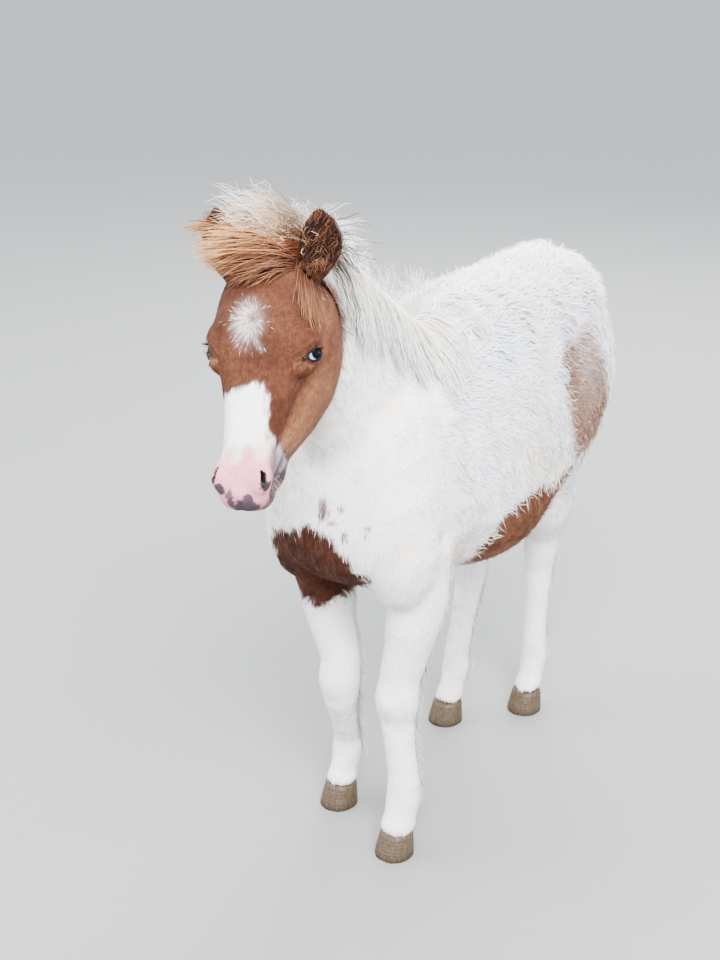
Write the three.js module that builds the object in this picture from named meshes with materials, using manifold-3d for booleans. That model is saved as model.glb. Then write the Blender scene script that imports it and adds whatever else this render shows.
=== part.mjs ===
// A standing Shetland pony foal, life size, as a still museum model.
// Millimetres, +Z up. It faces -Y, its left side is at +X, and it rests on four hooves at Z = 0.
import * as THREE from "three";
import { mergeVertices } from "three/addons/utils/BufferGeometryUtils.js";
import Module from "manifold-3d";

const wasm = await Module();
wasm.setup();

// Driving dimensions, in millimetres.
const withersHeight = 722;
const croupHeight = 740;
const trunkLength = 624; // point of the shoulder to the buttock
const barrelWidth = 268;
const bellyHeight = 328;
const headLength = 283; // poll to the front of the muzzle
const headTurn = 24; // degrees, to its left
const headDrop = 57; // degrees, below level
const headTilt = 4.5; // degrees
const eyeRadius = 15;
const earLength = 66;
const hoofHeight = 34;
const gap = 0.3; // between two pieces that touch
const grown = 0.45; // what a piece stands clear of the flesh that it lies on

const at = (x, y, z) => new THREE.Vector3(x, y, z);
const up = at(0, 0, 1);
const degrees = THREE.MathUtils.degToRad;

// A small seeded draw from 0 to 1, the same at every run.
function makeDraw(seed) {
  let state = seed;
  return () => {
    state = (state * 1664525 + 1013904223) % 4294967296;
    return state / 4294967296;
  };
}

// Turns a closed three.js geometry into a solid, with its faces pointing out.
function toSolid(geometry) {
  geometry.deleteAttribute("normal");
  geometry.deleteAttribute("uv");
  const merged = mergeVertices(geometry, 1e-4);
  const points = merged.attributes.position.array;
  const corners = Uint32Array.from(merged.index.array);
  let volume = 0;
  const [a, b, c] = [at(0, 0, 0), at(0, 0, 0), at(0, 0, 0)];
  for (let i = 0; i < corners.length; i += 3) {
    a.fromArray(points, corners[i] * 3);
    b.fromArray(points, corners[i + 1] * 3);
    c.fromArray(points, corners[i + 2] * 3);
    volume += a.dot(b.cross(c));
  }
  if (volume < 0) {
    for (let i = 0; i < corners.length; i += 3) {
      [corners[i], corners[i + 1]] = [corners[i + 1], corners[i]];
    }
  }
  const mesh = new wasm.Mesh({ numProp: 3, vertProperties: Float32Array.from(points), triVerts: corners });
  return new wasm.Manifold(mesh);
}

function joinAll(solids) {
  return solids.reduce((sum, solid) => sum.add(solid));
}

// The largest closed body of a solid.
function largest(solid) {
  const bodies = solid.decompose();
  return bodies.reduce((best, body) => (body.volume() > best.volume() ? body : best));
}

function toGeometry(solid) {
  const mesh = solid.getMesh();
  const geometry = new THREE.BufferGeometry();
  geometry.setAttribute("position", new THREE.BufferAttribute(Float32Array.from(mesh.vertProperties), 3));
  geometry.setIndex(new THREE.BufferAttribute(Uint32Array.from(mesh.triVerts), 1));
  return geometry;
}

// A form is a list of rows: centre x, y, z, half-width, reach on the dorsal side, reach on the other
// side, and squareness, where 2 is an ellipse.
class Form {
  constructor(rows, { dorsal = up, along = null } = {}) {
    this.rows = rows;
    this.dorsal = dorsal;
    this.along = along;
    this.spine = new THREE.CatmullRomCurve3(rows.map((row) => at(row[0], row[1], row[2])));
    this.sizes = new THREE.CatmullRomCurve3(rows.map((row) => at(row[3], row[4], row[5])));
    this.corners = new THREE.CatmullRomCurve3(rows.map((row) => at(row[6] ?? 2, 0, 0)));
  }

  // The frame of the section at t: its centre, the way along, the dorsal way and the way across.
  frame(t) {
    const centre = this.spine.getPoint(t);
    const along = this.along ? this.along.clone() : this.spine.getTangent(t);
    const dorsal = this.dorsal.clone().addScaledVector(along, -this.dorsal.dot(along)).normalize();
    const across = at(0, 0, 0).crossVectors(along, dorsal);
    return { centre, along, dorsal, across };
  }

  // A point of the surface at t, `turn` radians from the way across, with `lift` added outwards.
  point(t, turn, lift = 0, shrink = 1) {
    const { centre, dorsal, across } = this.frame(t);
    const size = this.sizes.getPoint(t);
    const power = 2 / this.corners.getPoint(t).x;
    const [c, s] = [Math.cos(turn), Math.sin(turn)];
    const x = Math.sign(c) * Math.abs(c) ** power * (size.x + lift) * shrink;
    const y = Math.sign(s) * Math.abs(s) ** power * ((s > 0 ? size.y : size.z) + lift) * shrink;
    return centre.addScaledVector(across, x).addScaledVector(dorsal, y);
  }

  // The closed solid, with rounded ends that stand out by `ends`.
  solid({ sides = 16, steps = 2, ends = [0, 0], lift = 0 } = {}) {
    const rings = [];
    const addRing = (t, shrink, offset) => {
      const { along } = this.frame(t);
      const ring = [];
      for (let i = 0; i < sides; i += 1) {
        const point = this.point(t, (i / sides) * 2 * Math.PI, lift, shrink);
        ring.push(point.addScaledVector(along, offset));
      }
      rings.push(ring);
    };
    const roundEnd = [0.35, 0.72, 0.93];
    const reach = (share) => Math.sqrt(1 - share * share);
    const [startEnd, finishEnd] = ends.map((end) => (end > 0 ? end + lift : 0));
    if (startEnd > 0) {
      roundEnd.forEach((share) => addRing(0, share, -startEnd * reach(share)));
    }
    const count = (this.rows.length - 1) * steps;
    for (let i = 0; i <= count; i += 1) {
      addRing(i / count, 1, 0);
    }
    if (finishEnd > 0) {
      [...roundEnd].reverse().forEach((share) => addRing(1, share, finishEnd * reach(share)));
    }
    const first = this.frame(0).centre.addScaledVector(this.frame(0).along, -startEnd);
    const last = this.frame(1).centre.addScaledVector(this.frame(1).along, finishEnd);
    return toSolid(skinOf(rings, first, last));
  }
}

// The closed surface over a row of rings, with a point at each end.
function skinOf(rings, first, last) {
  const sides = rings[0].length;
  const points = [...rings.flat(), first, last];
  const corners = [];
  for (let r = 0; r < rings.length - 1; r += 1) {
    for (let i = 0; i < sides; i += 1) {
      const next = (i + 1) % sides;
      const [a, b] = [r * sides + i, r * sides + next];
      corners.push(a, b, b + sides, a, b + sides, a + sides);
    }
  }
  const lastRing = (rings.length - 1) * sides;
  for (let i = 0; i < sides; i += 1) {
    const next = (i + 1) % sides;
    corners.push(next, i, points.length - 2);
    corners.push(lastRing + i, lastRing + next, points.length - 1);
  }
  const geometry = new THREE.BufferGeometry().setFromPoints(points);
  geometry.setIndex(corners);
  return geometry;
}

// A stretched ball, turned by a basis of three directions.
function ball(centre, radii, axes = [at(1, 0, 0), at(0, 1, 0), at(0, 0, 1)], detail = 12) {
  const geometry = new THREE.SphereGeometry(1, detail, Math.round(detail * 0.6));
  geometry.scale(radii[0], radii[1], radii[2]);
  geometry.applyMatrix4(new THREE.Matrix4().makeBasis(...axes).setPosition(centre));
  return toSolid(geometry);
}

// A block that starts on the plane through `origin` and reaches `deep` beyond it along `normal`.
function blockBeyond(origin, normal, dorsal, [wide, high, deep], rise = 0) {
  const along = normal.clone().normalize();
  const side = at(0, 0, 0).crossVectors(dorsal, along).normalize();
  const upright = at(0, 0, 0).crossVectors(along, side);
  const geometry = new THREE.BoxGeometry(wide, high, deep);
  geometry.translate(0, rise, deep / 2);
  geometry.applyMatrix4(new THREE.Matrix4().makeBasis(side, upright, along).setPosition(origin));
  return toSolid(geometry);
}

// Parts a solid by a plane, with the gap between, inside a block of the size given.
function part(solid, origin, normal, dorsal, size, rise = 0) {
  const back = origin.clone().addScaledVector(normal.clone().normalize(), -gap);
  const piece = largest(solid.intersect(blockBeyond(origin, normal, dorsal, size, rise)));
  const [wide, high, deep] = size;
  const wider = [wide + 2 * gap, high + 2 * gap, deep + 2 * gap];
  const rest = largest(solid.subtract(blockBeyond(back, normal, dorsal, wider, rise)));
  return [piece, rest];
}

// The trunk, from the breast to the buttocks.
const halfBarrel = barrelWidth / 2;
function trunkRow(share, width, top, widest, bottom, squareness = 2.2) {
  return [0, share * trunkLength, widest, width * halfBarrel, top - widest, widest - bottom, squareness];
}
const trunk = new Form(
  [
    trunkRow(0.02, 0.9, 622, 482, 390),
    trunkRow(0.1, 0.94, 662, 486, 370),
    trunkRow(0.2, 0.92, 696, 488, 358),
    trunkRow(0.31, 0.94, withersHeight, 480, 348),
    trunkRow(0.45, 1, withersHeight - 4, 475, bellyHeight, 2.3),
    trunkRow(0.58, 0.98, withersHeight, 485, bellyHeight + 4, 2.3),
    trunkRow(0.7, 0.92, croupHeight - 6, 510, 360),
    trunkRow(0.81, 0.86, croupHeight, 540, 404),
    trunkRow(0.9, 0.74, croupHeight - 24, 560, 452),
  ],
  { along: at(0, 1, 0) },
);

// The neck, from between the shoulders to the poll.
const poll = at(15, -132, 862);
const neck = new Form(
  [
    [0, 118, 565, 88, 142, 124],
    [0, 62, 625, 80, 130, 116],
    [2, 14, 686, 67, 108, 96],
    [6, -32, 746, 56, 86, 80],
    [10, -68, 796, 49, 66, 66],
    [13, -94, 830, 46, 50, 56],
  ],
  { dorsal: at(0, 0.75, 0.66) },
);

// The head has its own frame: `u` runs from the poll to the muzzle, `v` to its left and `w` to the
// front of the face, all in shares of the head's length.
const [turn, drop, tilt] = [degrees(headTurn), degrees(headDrop), degrees(headTilt)];
const headAlong = at(Math.sin(turn) * Math.cos(drop), -Math.cos(turn) * Math.cos(drop), -Math.sin(drop));
const headLeft = at(Math.cos(turn), Math.sin(turn), 0).applyAxisAngle(headAlong, tilt);
const headFront = at(0, 0, 0).crossVectors(headLeft, headAlong).normalize();
if (headFront.z < 0) {
  headFront.negate();
}
const headAxes = [headLeft, headAlong, headFront];
function onHead(u, v, w) {
  return poll.clone()
    .addScaledVector(headAlong, u * headLength)
    .addScaledVector(headLeft, v * headLength)
    .addScaledVector(headFront, w * headLength);
}
function headRow(u, width, top, widest, bottom, squareness = 2.3) {
  const centre = onHead(u, 0, widest);
  const sizes = [width, top - widest, widest - bottom].map((share) => share * headLength);
  return [centre.x, centre.y, centre.z, ...sizes, squareness];
}
function headBall(u, v, w, radii, detail = 12) {
  return ball(onHead(u, v, w), radii.map((share) => share * headLength), headAxes, detail);
}

const skull = new Form(
  [
    headRow(0.02, 0.135, 0.012, -0.12, -0.3),
    headRow(0.13, 0.182, 0.036, -0.12, -0.35),
    headRow(0.27, 0.212, 0.045, -0.11, -0.36),
    headRow(0.41, 0.198, 0.03, -0.1, -0.33),
    headRow(0.54, 0.152, 0.01, -0.11, -0.28),
    headRow(0.67, 0.12, 0, -0.11, -0.23),
    headRow(0.79, 0.104, -0.008, -0.105, -0.19),
    headRow(0.89, 0.114, -0.02, -0.1, -0.175),
    headRow(0.955, 0.1, -0.042, -0.105, -0.168),
  ],
  { dorsal: headFront, along: headAlong },
);
const jaw = new Form(
  [
    headRow(0.1, 0.192, -0.15, -0.3, -0.48, 2.8),
    headRow(0.22, 0.228, -0.14, -0.32, -0.53, 2.8),
    headRow(0.36, 0.236, -0.14, -0.33, -0.545, 2.8),
    headRow(0.5, 0.22, -0.13, -0.33, -0.525, 2.7),
    headRow(0.64, 0.175, -0.13, -0.3, -0.45, 2.5),
    headRow(0.78, 0.116, -0.13, -0.24, -0.355, 2.2),
    headRow(0.88, 0.09, -0.13, -0.21, -0.29, 2.2),
  ],
  { dorsal: headFront, along: headAlong },
);

const sideNames = [["left", 1], ["right", -1]];

// Legs are rows of joints from the body down: x, y, z, half-width, reach forward, reach back.
const forward = at(0, -1, 0);
function foreLeg(side, knee, fetlock, foot) {
  const elbow = side * 82;
  return new Form(
    [
      [elbow * 0.8, 84, 520, 38, 60, 54],
      [elbow, 82, 440, 50, 66, 46],
      [elbow * 0.9 + knee.x * 0.1, 82, 370, 41, 52, 38],
      [(elbow + knee.x) / 2, knee.y + 15, 300, 28, 34, 34],
      [knee.x, knee.y + 4, 248, 24, 25, 26],
      [knee.x, knee.y, knee.z, 26, 27, 24],
      [knee.x, knee.y + 2, knee.z - 32, 20.5, 21, 25],
      [(knee.x + fetlock.x) / 2, (knee.y + fetlock.y) / 2, 146, 16.5, 16.5, 24],
      [fetlock.x, fetlock.y, fetlock.z + 24, 17.5, 16.5, 24],
      [fetlock.x, fetlock.y, fetlock.z, 20, 18, 25],
      [foot.x, (fetlock.y + foot.y) / 2, 54, 18, 18, 19],
      [foot.x, foot.y - 1, hoofHeight, 21, 21, 20],
      [foot.x, foot.y - 4, hoofHeight - 8, 21, 21, 20],
    ],
    { dorsal: forward },
  );
}
function hindLeg(side, stifle, hock, fetlock, foot) {
  return new Form(
    [
      [side * 54, stifle.y + 74, 560, 48, 92, 66],
      [side * 62, stifle.y + 60, 490, 52, 90, 66],
      [stifle.x, stifle.y + 38, stifle.z, 42, 66, 54],
      [(stifle.x + hock.x) / 2, (stifle.y + hock.y) / 2 + 18, 340, 33, 46, 50],
      [hock.x * 0.9 + stifle.x * 0.1, hock.y - 2, hock.z + 32, 24, 31, 41],
      [hock.x, hock.y, hock.z, 24, 28, 36],
      [hock.x, hock.y, hock.z - 34, 20, 23, 27],
      [(hock.x + fetlock.x) / 2, (hock.y + fetlock.y) / 2 - 1, 165, 17, 18.5, 22],
      [fetlock.x, fetlock.y, fetlock.z + 26, 17.5, 18, 23],
      [fetlock.x, fetlock.y, fetlock.z, 20, 19, 25],
      [foot.x, (fetlock.y + foot.y) / 2, 56, 18, 18, 19],
      [foot.x, foot.y - 1, hoofHeight, 21, 21, 20],
      [foot.x, foot.y - 4, hoofHeight - 8, 21, 21, 20],
    ],
    { dorsal: forward },
  );
}
const legs = {
  left_fore: foreLeg(1, at(66, 52, 220), at(84, 42, 78), at(84, 31, 0)),
  right_fore: foreLeg(-1, at(-32, 54, 220), at(-49, 91, 78), at(-49, 80, 0)),
  left_hind: hindLeg(1, at(60, 428, 430), at(23, 503, 262), at(33, 481, 83), at(35, 464, 0)),
  right_hind: hindLeg(-1, at(-66, 396, 430), at(-37, 392, 262), at(-49, 378, 83), at(-49, 360, 0)),
};

// A hoof: a slanting wall on a flat sole.
function hoof(foot) {
  const rows = [
    [foot.x, foot.y - 1, hoofHeight, 21.5, 22, 20, 2],
    [foot.x, foot.y - 4, hoofHeight / 2, 24, 26, 20.5, 2.1],
    [foot.x, foot.y - 6, 0, 26, 30, 21, 2.2],
  ];
  return new Form(rows, { dorsal: forward, along: at(0, 0, -1) }).solid({ sides: 18, steps: 1 });
}

// What stands out on the head: brows, cheeks, nostrils, lips and chin.
function headSwells(lift) {
  const swell = (u, v, w, radii, detail) => {
    return headBall(u, v, w, radii.map((share) => share + lift / headLength), detail);
  };
  const solids = [
    swell(0.955, 0, -0.105, [0.09, 0.05, 0.074], 14),
    swell(0.93, 0, -0.225, [0.08, 0.068, 0.054], 12),
  ];
  sideNames.forEach(([, side]) => {
    solids.push(swell(0.385, side * 0.155, -0.095, [0.082, 0.125, 0.088], 13));
    solids.push(swell(0.9, side * 0.072, -0.06, [0.054, 0.066, 0.046], 12));
  });
  return solids;
}

// The eyes look out to each side and a little forward.
const eyeSide = { u: -0.04, v: 0.86, w: 0.5 };
function eyeOf(side) {
  const looks = at(0, 0, 0)
    .addScaledVector(headAlong, eyeSide.u)
    .addScaledVector(headLeft, side * eyeSide.v)
    .addScaledVector(headFront, eyeSide.w)
    .normalize();
  const slit = headAlong.clone().multiplyScalar(0.86).addScaledVector(headFront, 0.5);
  slit.addScaledVector(looks, -slit.dot(looks)).normalize();
  const centre = onHead(0.405, side * 0.222, -0.094).addScaledVector(looks, -eyeRadius);
  return { centre, looks, slit, rise: at(0, 0, 0).crossVectors(looks, slit) };
}
function eyeBall(side, radius) {
  const { centre, looks, slit, rise } = eyeOf(side);
  return ball(centre, [radius, radius, radius], [slit, rise, looks], 12);
}

// The opening between the lids: an almond that runs outwards from the middle of the eye.
const eyeOpening = { long: 25, high: 14 };
const lidDepth = 2.4;
function lidOpening(side) {
  const { centre, looks, slit, rise } = eyeOf(side);
  const almond = new THREE.Shape();
  almond.moveTo(-eyeOpening.long / 2, 0);
  almond.quadraticCurveTo(0, eyeOpening.high, eyeOpening.long / 2, 0);
  almond.quadraticCurveTo(0, -eyeOpening.high, -eyeOpening.long / 2, 0);
  const geometry = new THREE.ExtrudeGeometry(almond, { depth: 40, bevelEnabled: false, curveSegments: 5 });
  geometry.applyMatrix4(new THREE.Matrix4().makeBasis(slit, rise, looks).setPosition(centre));
  return toSolid(geometry);
}

// The line of the mouth is a groove as deep as `mouthDepth` all round the front of the muzzle.
const mouthDepth = 3.5;
function mouthLine() {
  const slab = headBall(0.94, 0, -0.168, [0.2, 0.15, 0.0042], 14);
  const core = joinAll([
    skull.solid({ sides: 14, steps: 1, ends: [14, 15], lift: -mouthDepth }),
    jaw.solid({ sides: 12, steps: 1, ends: [14, 12], lift: -mouthDepth }),
    ...headSwells(-mouthDepth).slice(0, 2),
  ]);
  return slab.subtract(core);
}

// A nostril: a deep slit that curves round the side of the muzzle.
function nostril(side) {
  const solids = [
    headBall(0.885, side * 0.094, -0.04, [0.02, 0.034, 0.03], 10),
    headBall(0.915, side * 0.102, -0.056, [0.022, 0.018, 0.026], 10),
  ];
  return joinAll(solids);
}

// The head's flesh, and that of the rest, each as one solid and `lift` larger all round.
function headFlesh(lift = 0) {
  return joinAll([
    skull.solid({ sides: 22, steps: 2, ends: [14, 15], lift }),
    jaw.solid({ sides: 16, steps: 1, ends: [20, 12], lift }),
    ...headSwells(lift),
    ...sideNames.map(([, side]) => eyeBall(side, eyeRadius + lidDepth + lift)),
  ]);
}
function bodyFlesh(lift = 0) {
  const radii = (a, b, c) => [a + lift, b + lift, c + lift];
  const solids = [
    trunk.solid({ sides: 22, steps: 2, ends: [58, 52], lift }),
    neck.solid({ sides: 18, steps: 2, ends: [40, 26], lift }),
    ...Object.values(legs).map((leg) => leg.solid({ sides: 14, steps: 1, lift })),
  ];
  sideNames.forEach(([, side]) => {
    solids.push(ball(at(side * 60, 70, 525), radii(62, 104, 136), undefined, 14));
    solids.push(ball(at(side * 80, 42, 446), radii(53, 62, 82), undefined, 12));
    solids.push(ball(at(side * 46, 484, 580), radii(66, 108, 132), undefined, 12));
  });
  return joinAll(solids);
}

// Ears: a leaf with a deep cup that opens forwards.
const earRoot = { u: 0.075, v: 0.185, w: -0.075 };
const earLean = { u: -0.78, v: 0.12, w: 0.5 };
const earFaces = { u: 0.35, v: 0.42, w: 0.8 };
function headWay(way, side) {
  return at(0, 0, 0)
    .addScaledVector(headAlong, way.u)
    .addScaledVector(headLeft, side * way.v)
    .addScaledVector(headFront, way.w)
    .normalize();
}
function earForm(side, thin, forwardShift) {
  const root = onHead(earRoot.u, side * earRoot.v, earRoot.w);
  const lean = headWay(earLean, side);
  const faces = headWay(earFaces, side);
  const inwards = headLeft.clone().multiplyScalar(-side);
  const row = (share, width, depth, bend) => {
    const centre = root.clone()
      .addScaledVector(lean, share * earLength)
      .addScaledVector(inwards, bend)
      .addScaledVector(faces, forwardShift);
    return [centre.x, centre.y, centre.z, width - thin, depth - thin, depth - thin];
  };
  const rows = [
    row(-0.3, 10, 9, 20),
    row(-0.08, 14, 11, 6),
    row(0.08, 16.5, 13, 0),
    row(0.3, 20.5, 13, -1.5),
    row(0.55, 20.5, 11, -1),
    row(0.8, 14, 8, 3),
    row(0.96, 5.5, 4.5, 6),
  ];
  return new Form(rows, { dorsal: faces });
}
function ear(side) {
  const outside = earForm(side, 0, 0).solid({ sides: 12, steps: 1, ends: [0, 3] });
  const inside = earForm(side, 2.6, 8).solid({ sides: 10, steps: 1, ends: [0, 2] });
  const floor = blockBeyond(
    onHead(earRoot.u, side * earRoot.v, earRoot.w).addScaledVector(headWay(earLean, side), 0.12 * earLength),
    headWay(earLean, side),
    headFront,
    [90, 90, 90],
  );
  return outside.subtract(inside.intersect(floor));
}

// A flat lock of hair along the stops given, each with its place and the way that its flat side
// faces. It is widest near the root and ends in a point.
const lockTaper = [0.7, 1, 0.92, 0.62];
function lock(stops, width, thick) {
  const spine = new THREE.CatmullRomCurve3(stops.map((stop) => stop.place));
  const facing = new THREE.CatmullRomCurve3(stops.map((stop) => stop.faces));
  const rings = lockTaper.map((taper, i) => {
    const t = i / lockTaper.length;
    const along = spine.getTangent(t);
    const faces = facing.getPoint(t);
    faces.addScaledVector(along, -faces.dot(along)).normalize();
    const across = at(0, 0, 0).crossVectors(along, faces);
    const [half, deep] = [(width * taper) / 2, (thick * (taper + 0.4)) / 2];
    const centre = spine.getPoint(t);
    return [[half, 0], [0, deep], [-half, 0], [0, -deep]].map(([x, y]) => {
      return centre.clone().addScaledVector(across, x).addScaledVector(faces, y);
    });
  });
  return toSolid(skinOf(rings, spine.getPoint(0), spine.getPoint(1)));
}

// Long hair lies on the flesh: rays towards an inner point find the surface and the way it faces.
const rayReach = 400;
const raySpread = 9;
const steepest = 0.55;
function makeDrape(solid) {
  const surface = new THREE.Mesh(toGeometry(solid), new THREE.MeshBasicMaterial());
  const ray = new THREE.Raycaster();
  return (inner, outward, lift) => {
    const way = outward.clone().normalize();
    const across = at(0, 0, 0).crossVectors(way, up).normalize();
    const upright = at(0, 0, 0).crossVectors(across, way);
    const hitAt = (x, y) => {
      const start = inner.clone().addScaledVector(across, x * raySpread).addScaledVector(upright, y * raySpread);
      ray.set(start.addScaledVector(way, rayReach), way.clone().negate());
      return ray.intersectObject(surface)[0].point;
    };
    const [right, left, top, bottom] = [[1, 0], [-1, 0], [0, 1], [0, -1]].map(([x, y]) => hitAt(x, y));
    const faces = at(0, 0, 0).crossVectors(right.sub(left), top.sub(bottom)).normalize();
    if (faces.dot(way) < steepest) {
      faces.copy(way);
    }
    return { place: hitAt(0, 0).addScaledVector(faces, lift), faces };
  };
}

// The middle of each cross-section of a ring, to close a surface of rings.
function middleOf(ring) {
  return ring.reduce((sum, point) => sum.add(point), at(0, 0, 0)).divideScalar(ring.length);
}

// The mane: a low ridge along the crest, and locks that grow from it.
const mane = { from: 0.3, to: 0.99, ridge: 9, leftLocks: 20, rightLocks: 5, crestCurls: 9, flyingLocks: 6 };
function maneRidge() {
  const rings = [];
  const count = 9;
  const rises = [-2, 6, mane.ridge, 6, -2];
  const turns = [58, 74, 90, 106, 122].map(degrees);
  for (let i = 0; i <= count; i += 1) {
    const t = mane.from + (mane.to - mane.from) * (i / count);
    const outer = turns.map((angle, k) => neck.point(t, angle, rises[k]));
    const inner = [106, 74].map(degrees).map((angle) => neck.point(t, angle, -4));
    rings.push([...outer, ...inner]);
  }
  return toSolid(skinOf(rings, middleOf(rings[0]), middleOf(rings[count])));
}
function maneLocks(drape) {
  const draw = makeDraw(11);
  const between = (low, high) => low + (high - low) * draw();
  const locks = [];
  const span = mane.to - mane.from;
  const sideLock = (share, side, reach, layer) => {
    const start = mane.from + span * share;
    const back = between(0.06, 0.18) * (1.2 - share) * (side > 0 ? 1 : 0.5);
    const wave = between(-0.02, 0.02);
    const stops = [[88, 2], [66, 4 + layer], [38, 4 + layer], [12, 4 + layer], [-12, 4 + layer]];
    return lock(
      stops.map(([turnDegrees, lift], k) => {
        const turned = degrees(90 - (88 - turnDegrees) * reach - 2);
        const t = Math.max(0.06, start - back * (k / 4) * 1.4 + (k % 2 ? wave : -wave));
        const angle = side > 0 ? Math.PI - turned : turned;
        const { centre } = neck.frame(t);
        return drape(centre, neck.point(t, angle).sub(centre), lift);
      }),
      between(26, 34),
      3.4,
    );
  };
  for (let i = 0; i < mane.leftLocks; i += 1) {
    locks.push(sideLock((i + 0.5) / mane.leftLocks, 1, between(0.75, 1.15), 2.6 * (i % 3)));
  }
  for (let i = 0; i < mane.rightLocks; i += 1) {
    locks.push(sideLock((i + 0.5) / mane.rightLocks, -1, between(0.45, 0.7), 4 * (i % 2)));
  }
  // Curls that stand up from the crest and bend back over the neck.
  for (let i = 0; i < mane.crestCurls; i += 1) {
    const t = mane.from + span * ((i + 0.6) / mane.crestCurls) * 0.92;
    const { centre, along, dorsal } = neck.frame(t);
    const root = neck.point(t, Math.PI / 2, 3);
    const rise = between(34, 60);
    const lean = between(-22, 14);
    const faces = at(0.5, -0.4, 0.3);
    const step = (height, backwards, sideways) => ({
      place: root.clone().addScaledVector(dorsal, height).addScaledVector(along, -backwards)
        .add(at(sideways, 0, 0)),
      faces,
    });
    locks.push(lock(
      [step(0, 0, 0), step(rise * 0.6, 12, lean * 0.3), step(rise * 0.95, 38, lean), step(rise, 70, lean * 1.5)],
      between(15, 21),
      3,
    ));
  }
  // Locks from behind the ears that the wind lifts over the poll to its right.
  for (let i = 0; i < mane.flyingLocks; i += 1) {
    const share = i / (mane.flyingLocks - 1);
    const root = neck.point(0.74 + 0.24 * share, Math.PI / 2, 3);
    const wind = at(-0.8, -0.58, 0.1);
    const reach = between(88, 124);
    const rise = between(34, 62) * (1 - 0.3 * share);
    const step = (run, height) => ({
      place: root.clone().addScaledVector(wind, run * reach).add(at(0, 0, height)),
      faces: at(0.4, -0.6, 0.7),
    });
    locks.push(lock(
      [step(0, 0), step(0.22, rise * 0.75), step(0.6, rise + between(-6, 8)), step(1, rise * between(0.7, 1.3))],
      between(13, 19),
      3,
    ));
  }
  return locks;
}

// The forelock grows between the ears, and the wind lays it over the forehead to its right.
const forelock = { locks: 12, templeLocks: 2 };
function forelockHair(drape) {
  const draw = makeDraw(5);
  const between = (low, high) => low + (high - low) * draw();
  const solids = [headBall(0.045, 0, 0.012, [0.1, 0.085, 0.05], 10)];
  const place = (u, v, w) => ({ place: onHead(u, v, w), faces: headWay({ u: -0.5, v: 0, w: 0.9 }, 1) });
  for (let i = 0; i < forelock.locks; i += 1) {
    const share = i / (forelock.locks - 1);
    const u = 0.09 - 0.16 * share + between(-0.01, 0.01);
    const v = 0.06 - 0.1 * ((i * 7) % 5) / 4;
    const reach = between(0.13, 0.25);
    const fall = between(0.06, 0.24) * (1.15 - share);
    solids.push(lock(
      [
        place(u + 0.02, v, 0.015),
        place(u, v - reach * 0.3, 0.1 + 0.03 * (i % 3)),
        place(u + fall * 0.4, v - reach * 0.7, 0.125 + 0.03 * (i % 3)),
        place(u + fall, v - reach, 0.1 + 0.03 * ((i + 1) % 3)),
      ],
      between(20, 28),
      3.2,
    ));
  }
  // Locks that fall in front of its left ear, down the temple.
  for (let i = 0; i < forelock.templeLocks; i += 1) {
    const stops = [[0.04, 0.06, -6], [0.1, 0.12, 6], [0.2, 0.16, 5], [0.3 - 0.04 * i, 0.185, 5]];
    const inner = (u) => onHead(u, 0, -0.12);
    solids.push(lock(
      stops.map(([u, v, lift]) => {
        const outward = onHead(u, v - 0.022 * i, -0.02).sub(inner(u));
        return drape(inner(u), outward, lift + 3 * i);
      }),
      between(12, 16),
      3,
    ));
  }
  return joinAll(solids);
}

// The tail: a dock half as long as the hair, and locks all round it that fall behind the thighs.
const tail = { locks: 11, dock: 105 };
function tailHair() {
  const draw = makeDraw(23);
  const between = (low, high) => low + (high - low) * draw();
  const root = at(0, 592, 688);
  const dock = new Form(
    [
      [0, 560, 684, 22, 20, 20],
      [0, 606, 672, 20, 17, 17],
      [2, 628, 630, 17, 14, 14],
      [3, 634, root.z - tail.dock, 11, 9, 9],
    ],
    { dorsal: at(0, 1, 0.5) },
  );
  const solids = [dock.solid({ sides: 8, steps: 1, ends: [0, 6] })];
  for (let i = 0; i < tail.locks; i += 1) {
    const share = (i + 0.5) / tail.locks;
    const t = 0.34 + 0.62 * share;
    const turned = i * degrees(137.5);
    const { centre } = dock.frame(t);
    const outward = at(Math.cos(turned), Math.max(-0.25, Math.sin(turned)), 0);
    const start = centre.clone().addScaledVector(outward, 3);
    const length = between(120, 165);
    const spread = between(16, 30);
    const curl = between(-12, 12);
    const step = (run, out, sideways) => ({
      place: start.clone().addScaledVector(outward, out).add(at(sideways, 0, -run * length)),
      faces: at(outward.x, outward.y + 0.6, 0.2),
    });
    solids.push(lock(
      [step(0, 0, 0), step(0.3, spread, 0), step(0.65, spread * 0.9, curl), step(1, spread * 0.3, -curl * 0.5)],
      between(28, 36),
      3.4,
    ));
  }
  return joinAll(solids);
}

const meshes = [];
const finishes = {
  whiteCoat: { color: 0xe6e6ec, roughness: 0.9, metalness: 0 },
  chestnutCoat: { color: 0xa5694a, roughness: 0.85, metalness: 0 },
  tanHair: { color: 0xd0a07a, roughness: 0.8, metalness: 0 },
  creamHair: { color: 0xece4d2, roughness: 0.8, metalness: 0 },
  horn: { color: 0x8a7c6c, roughness: 0.55, metalness: 0 },
  eye: { color: 0x1c222c, roughness: 0.1, metalness: 0 },
};
function keep(name, solid, finish) {
  const mesh = new THREE.Mesh(toGeometry(largest(solid)), new THREE.MeshStandardMaterial(finishes[finish]));
  mesh.name = name;
  meshes.push(mesh);
}

const clear = headFlesh(grown).add(bodyFlesh(grown));
let body = largest(bodyFlesh().subtract(headFlesh(gap)));

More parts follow.
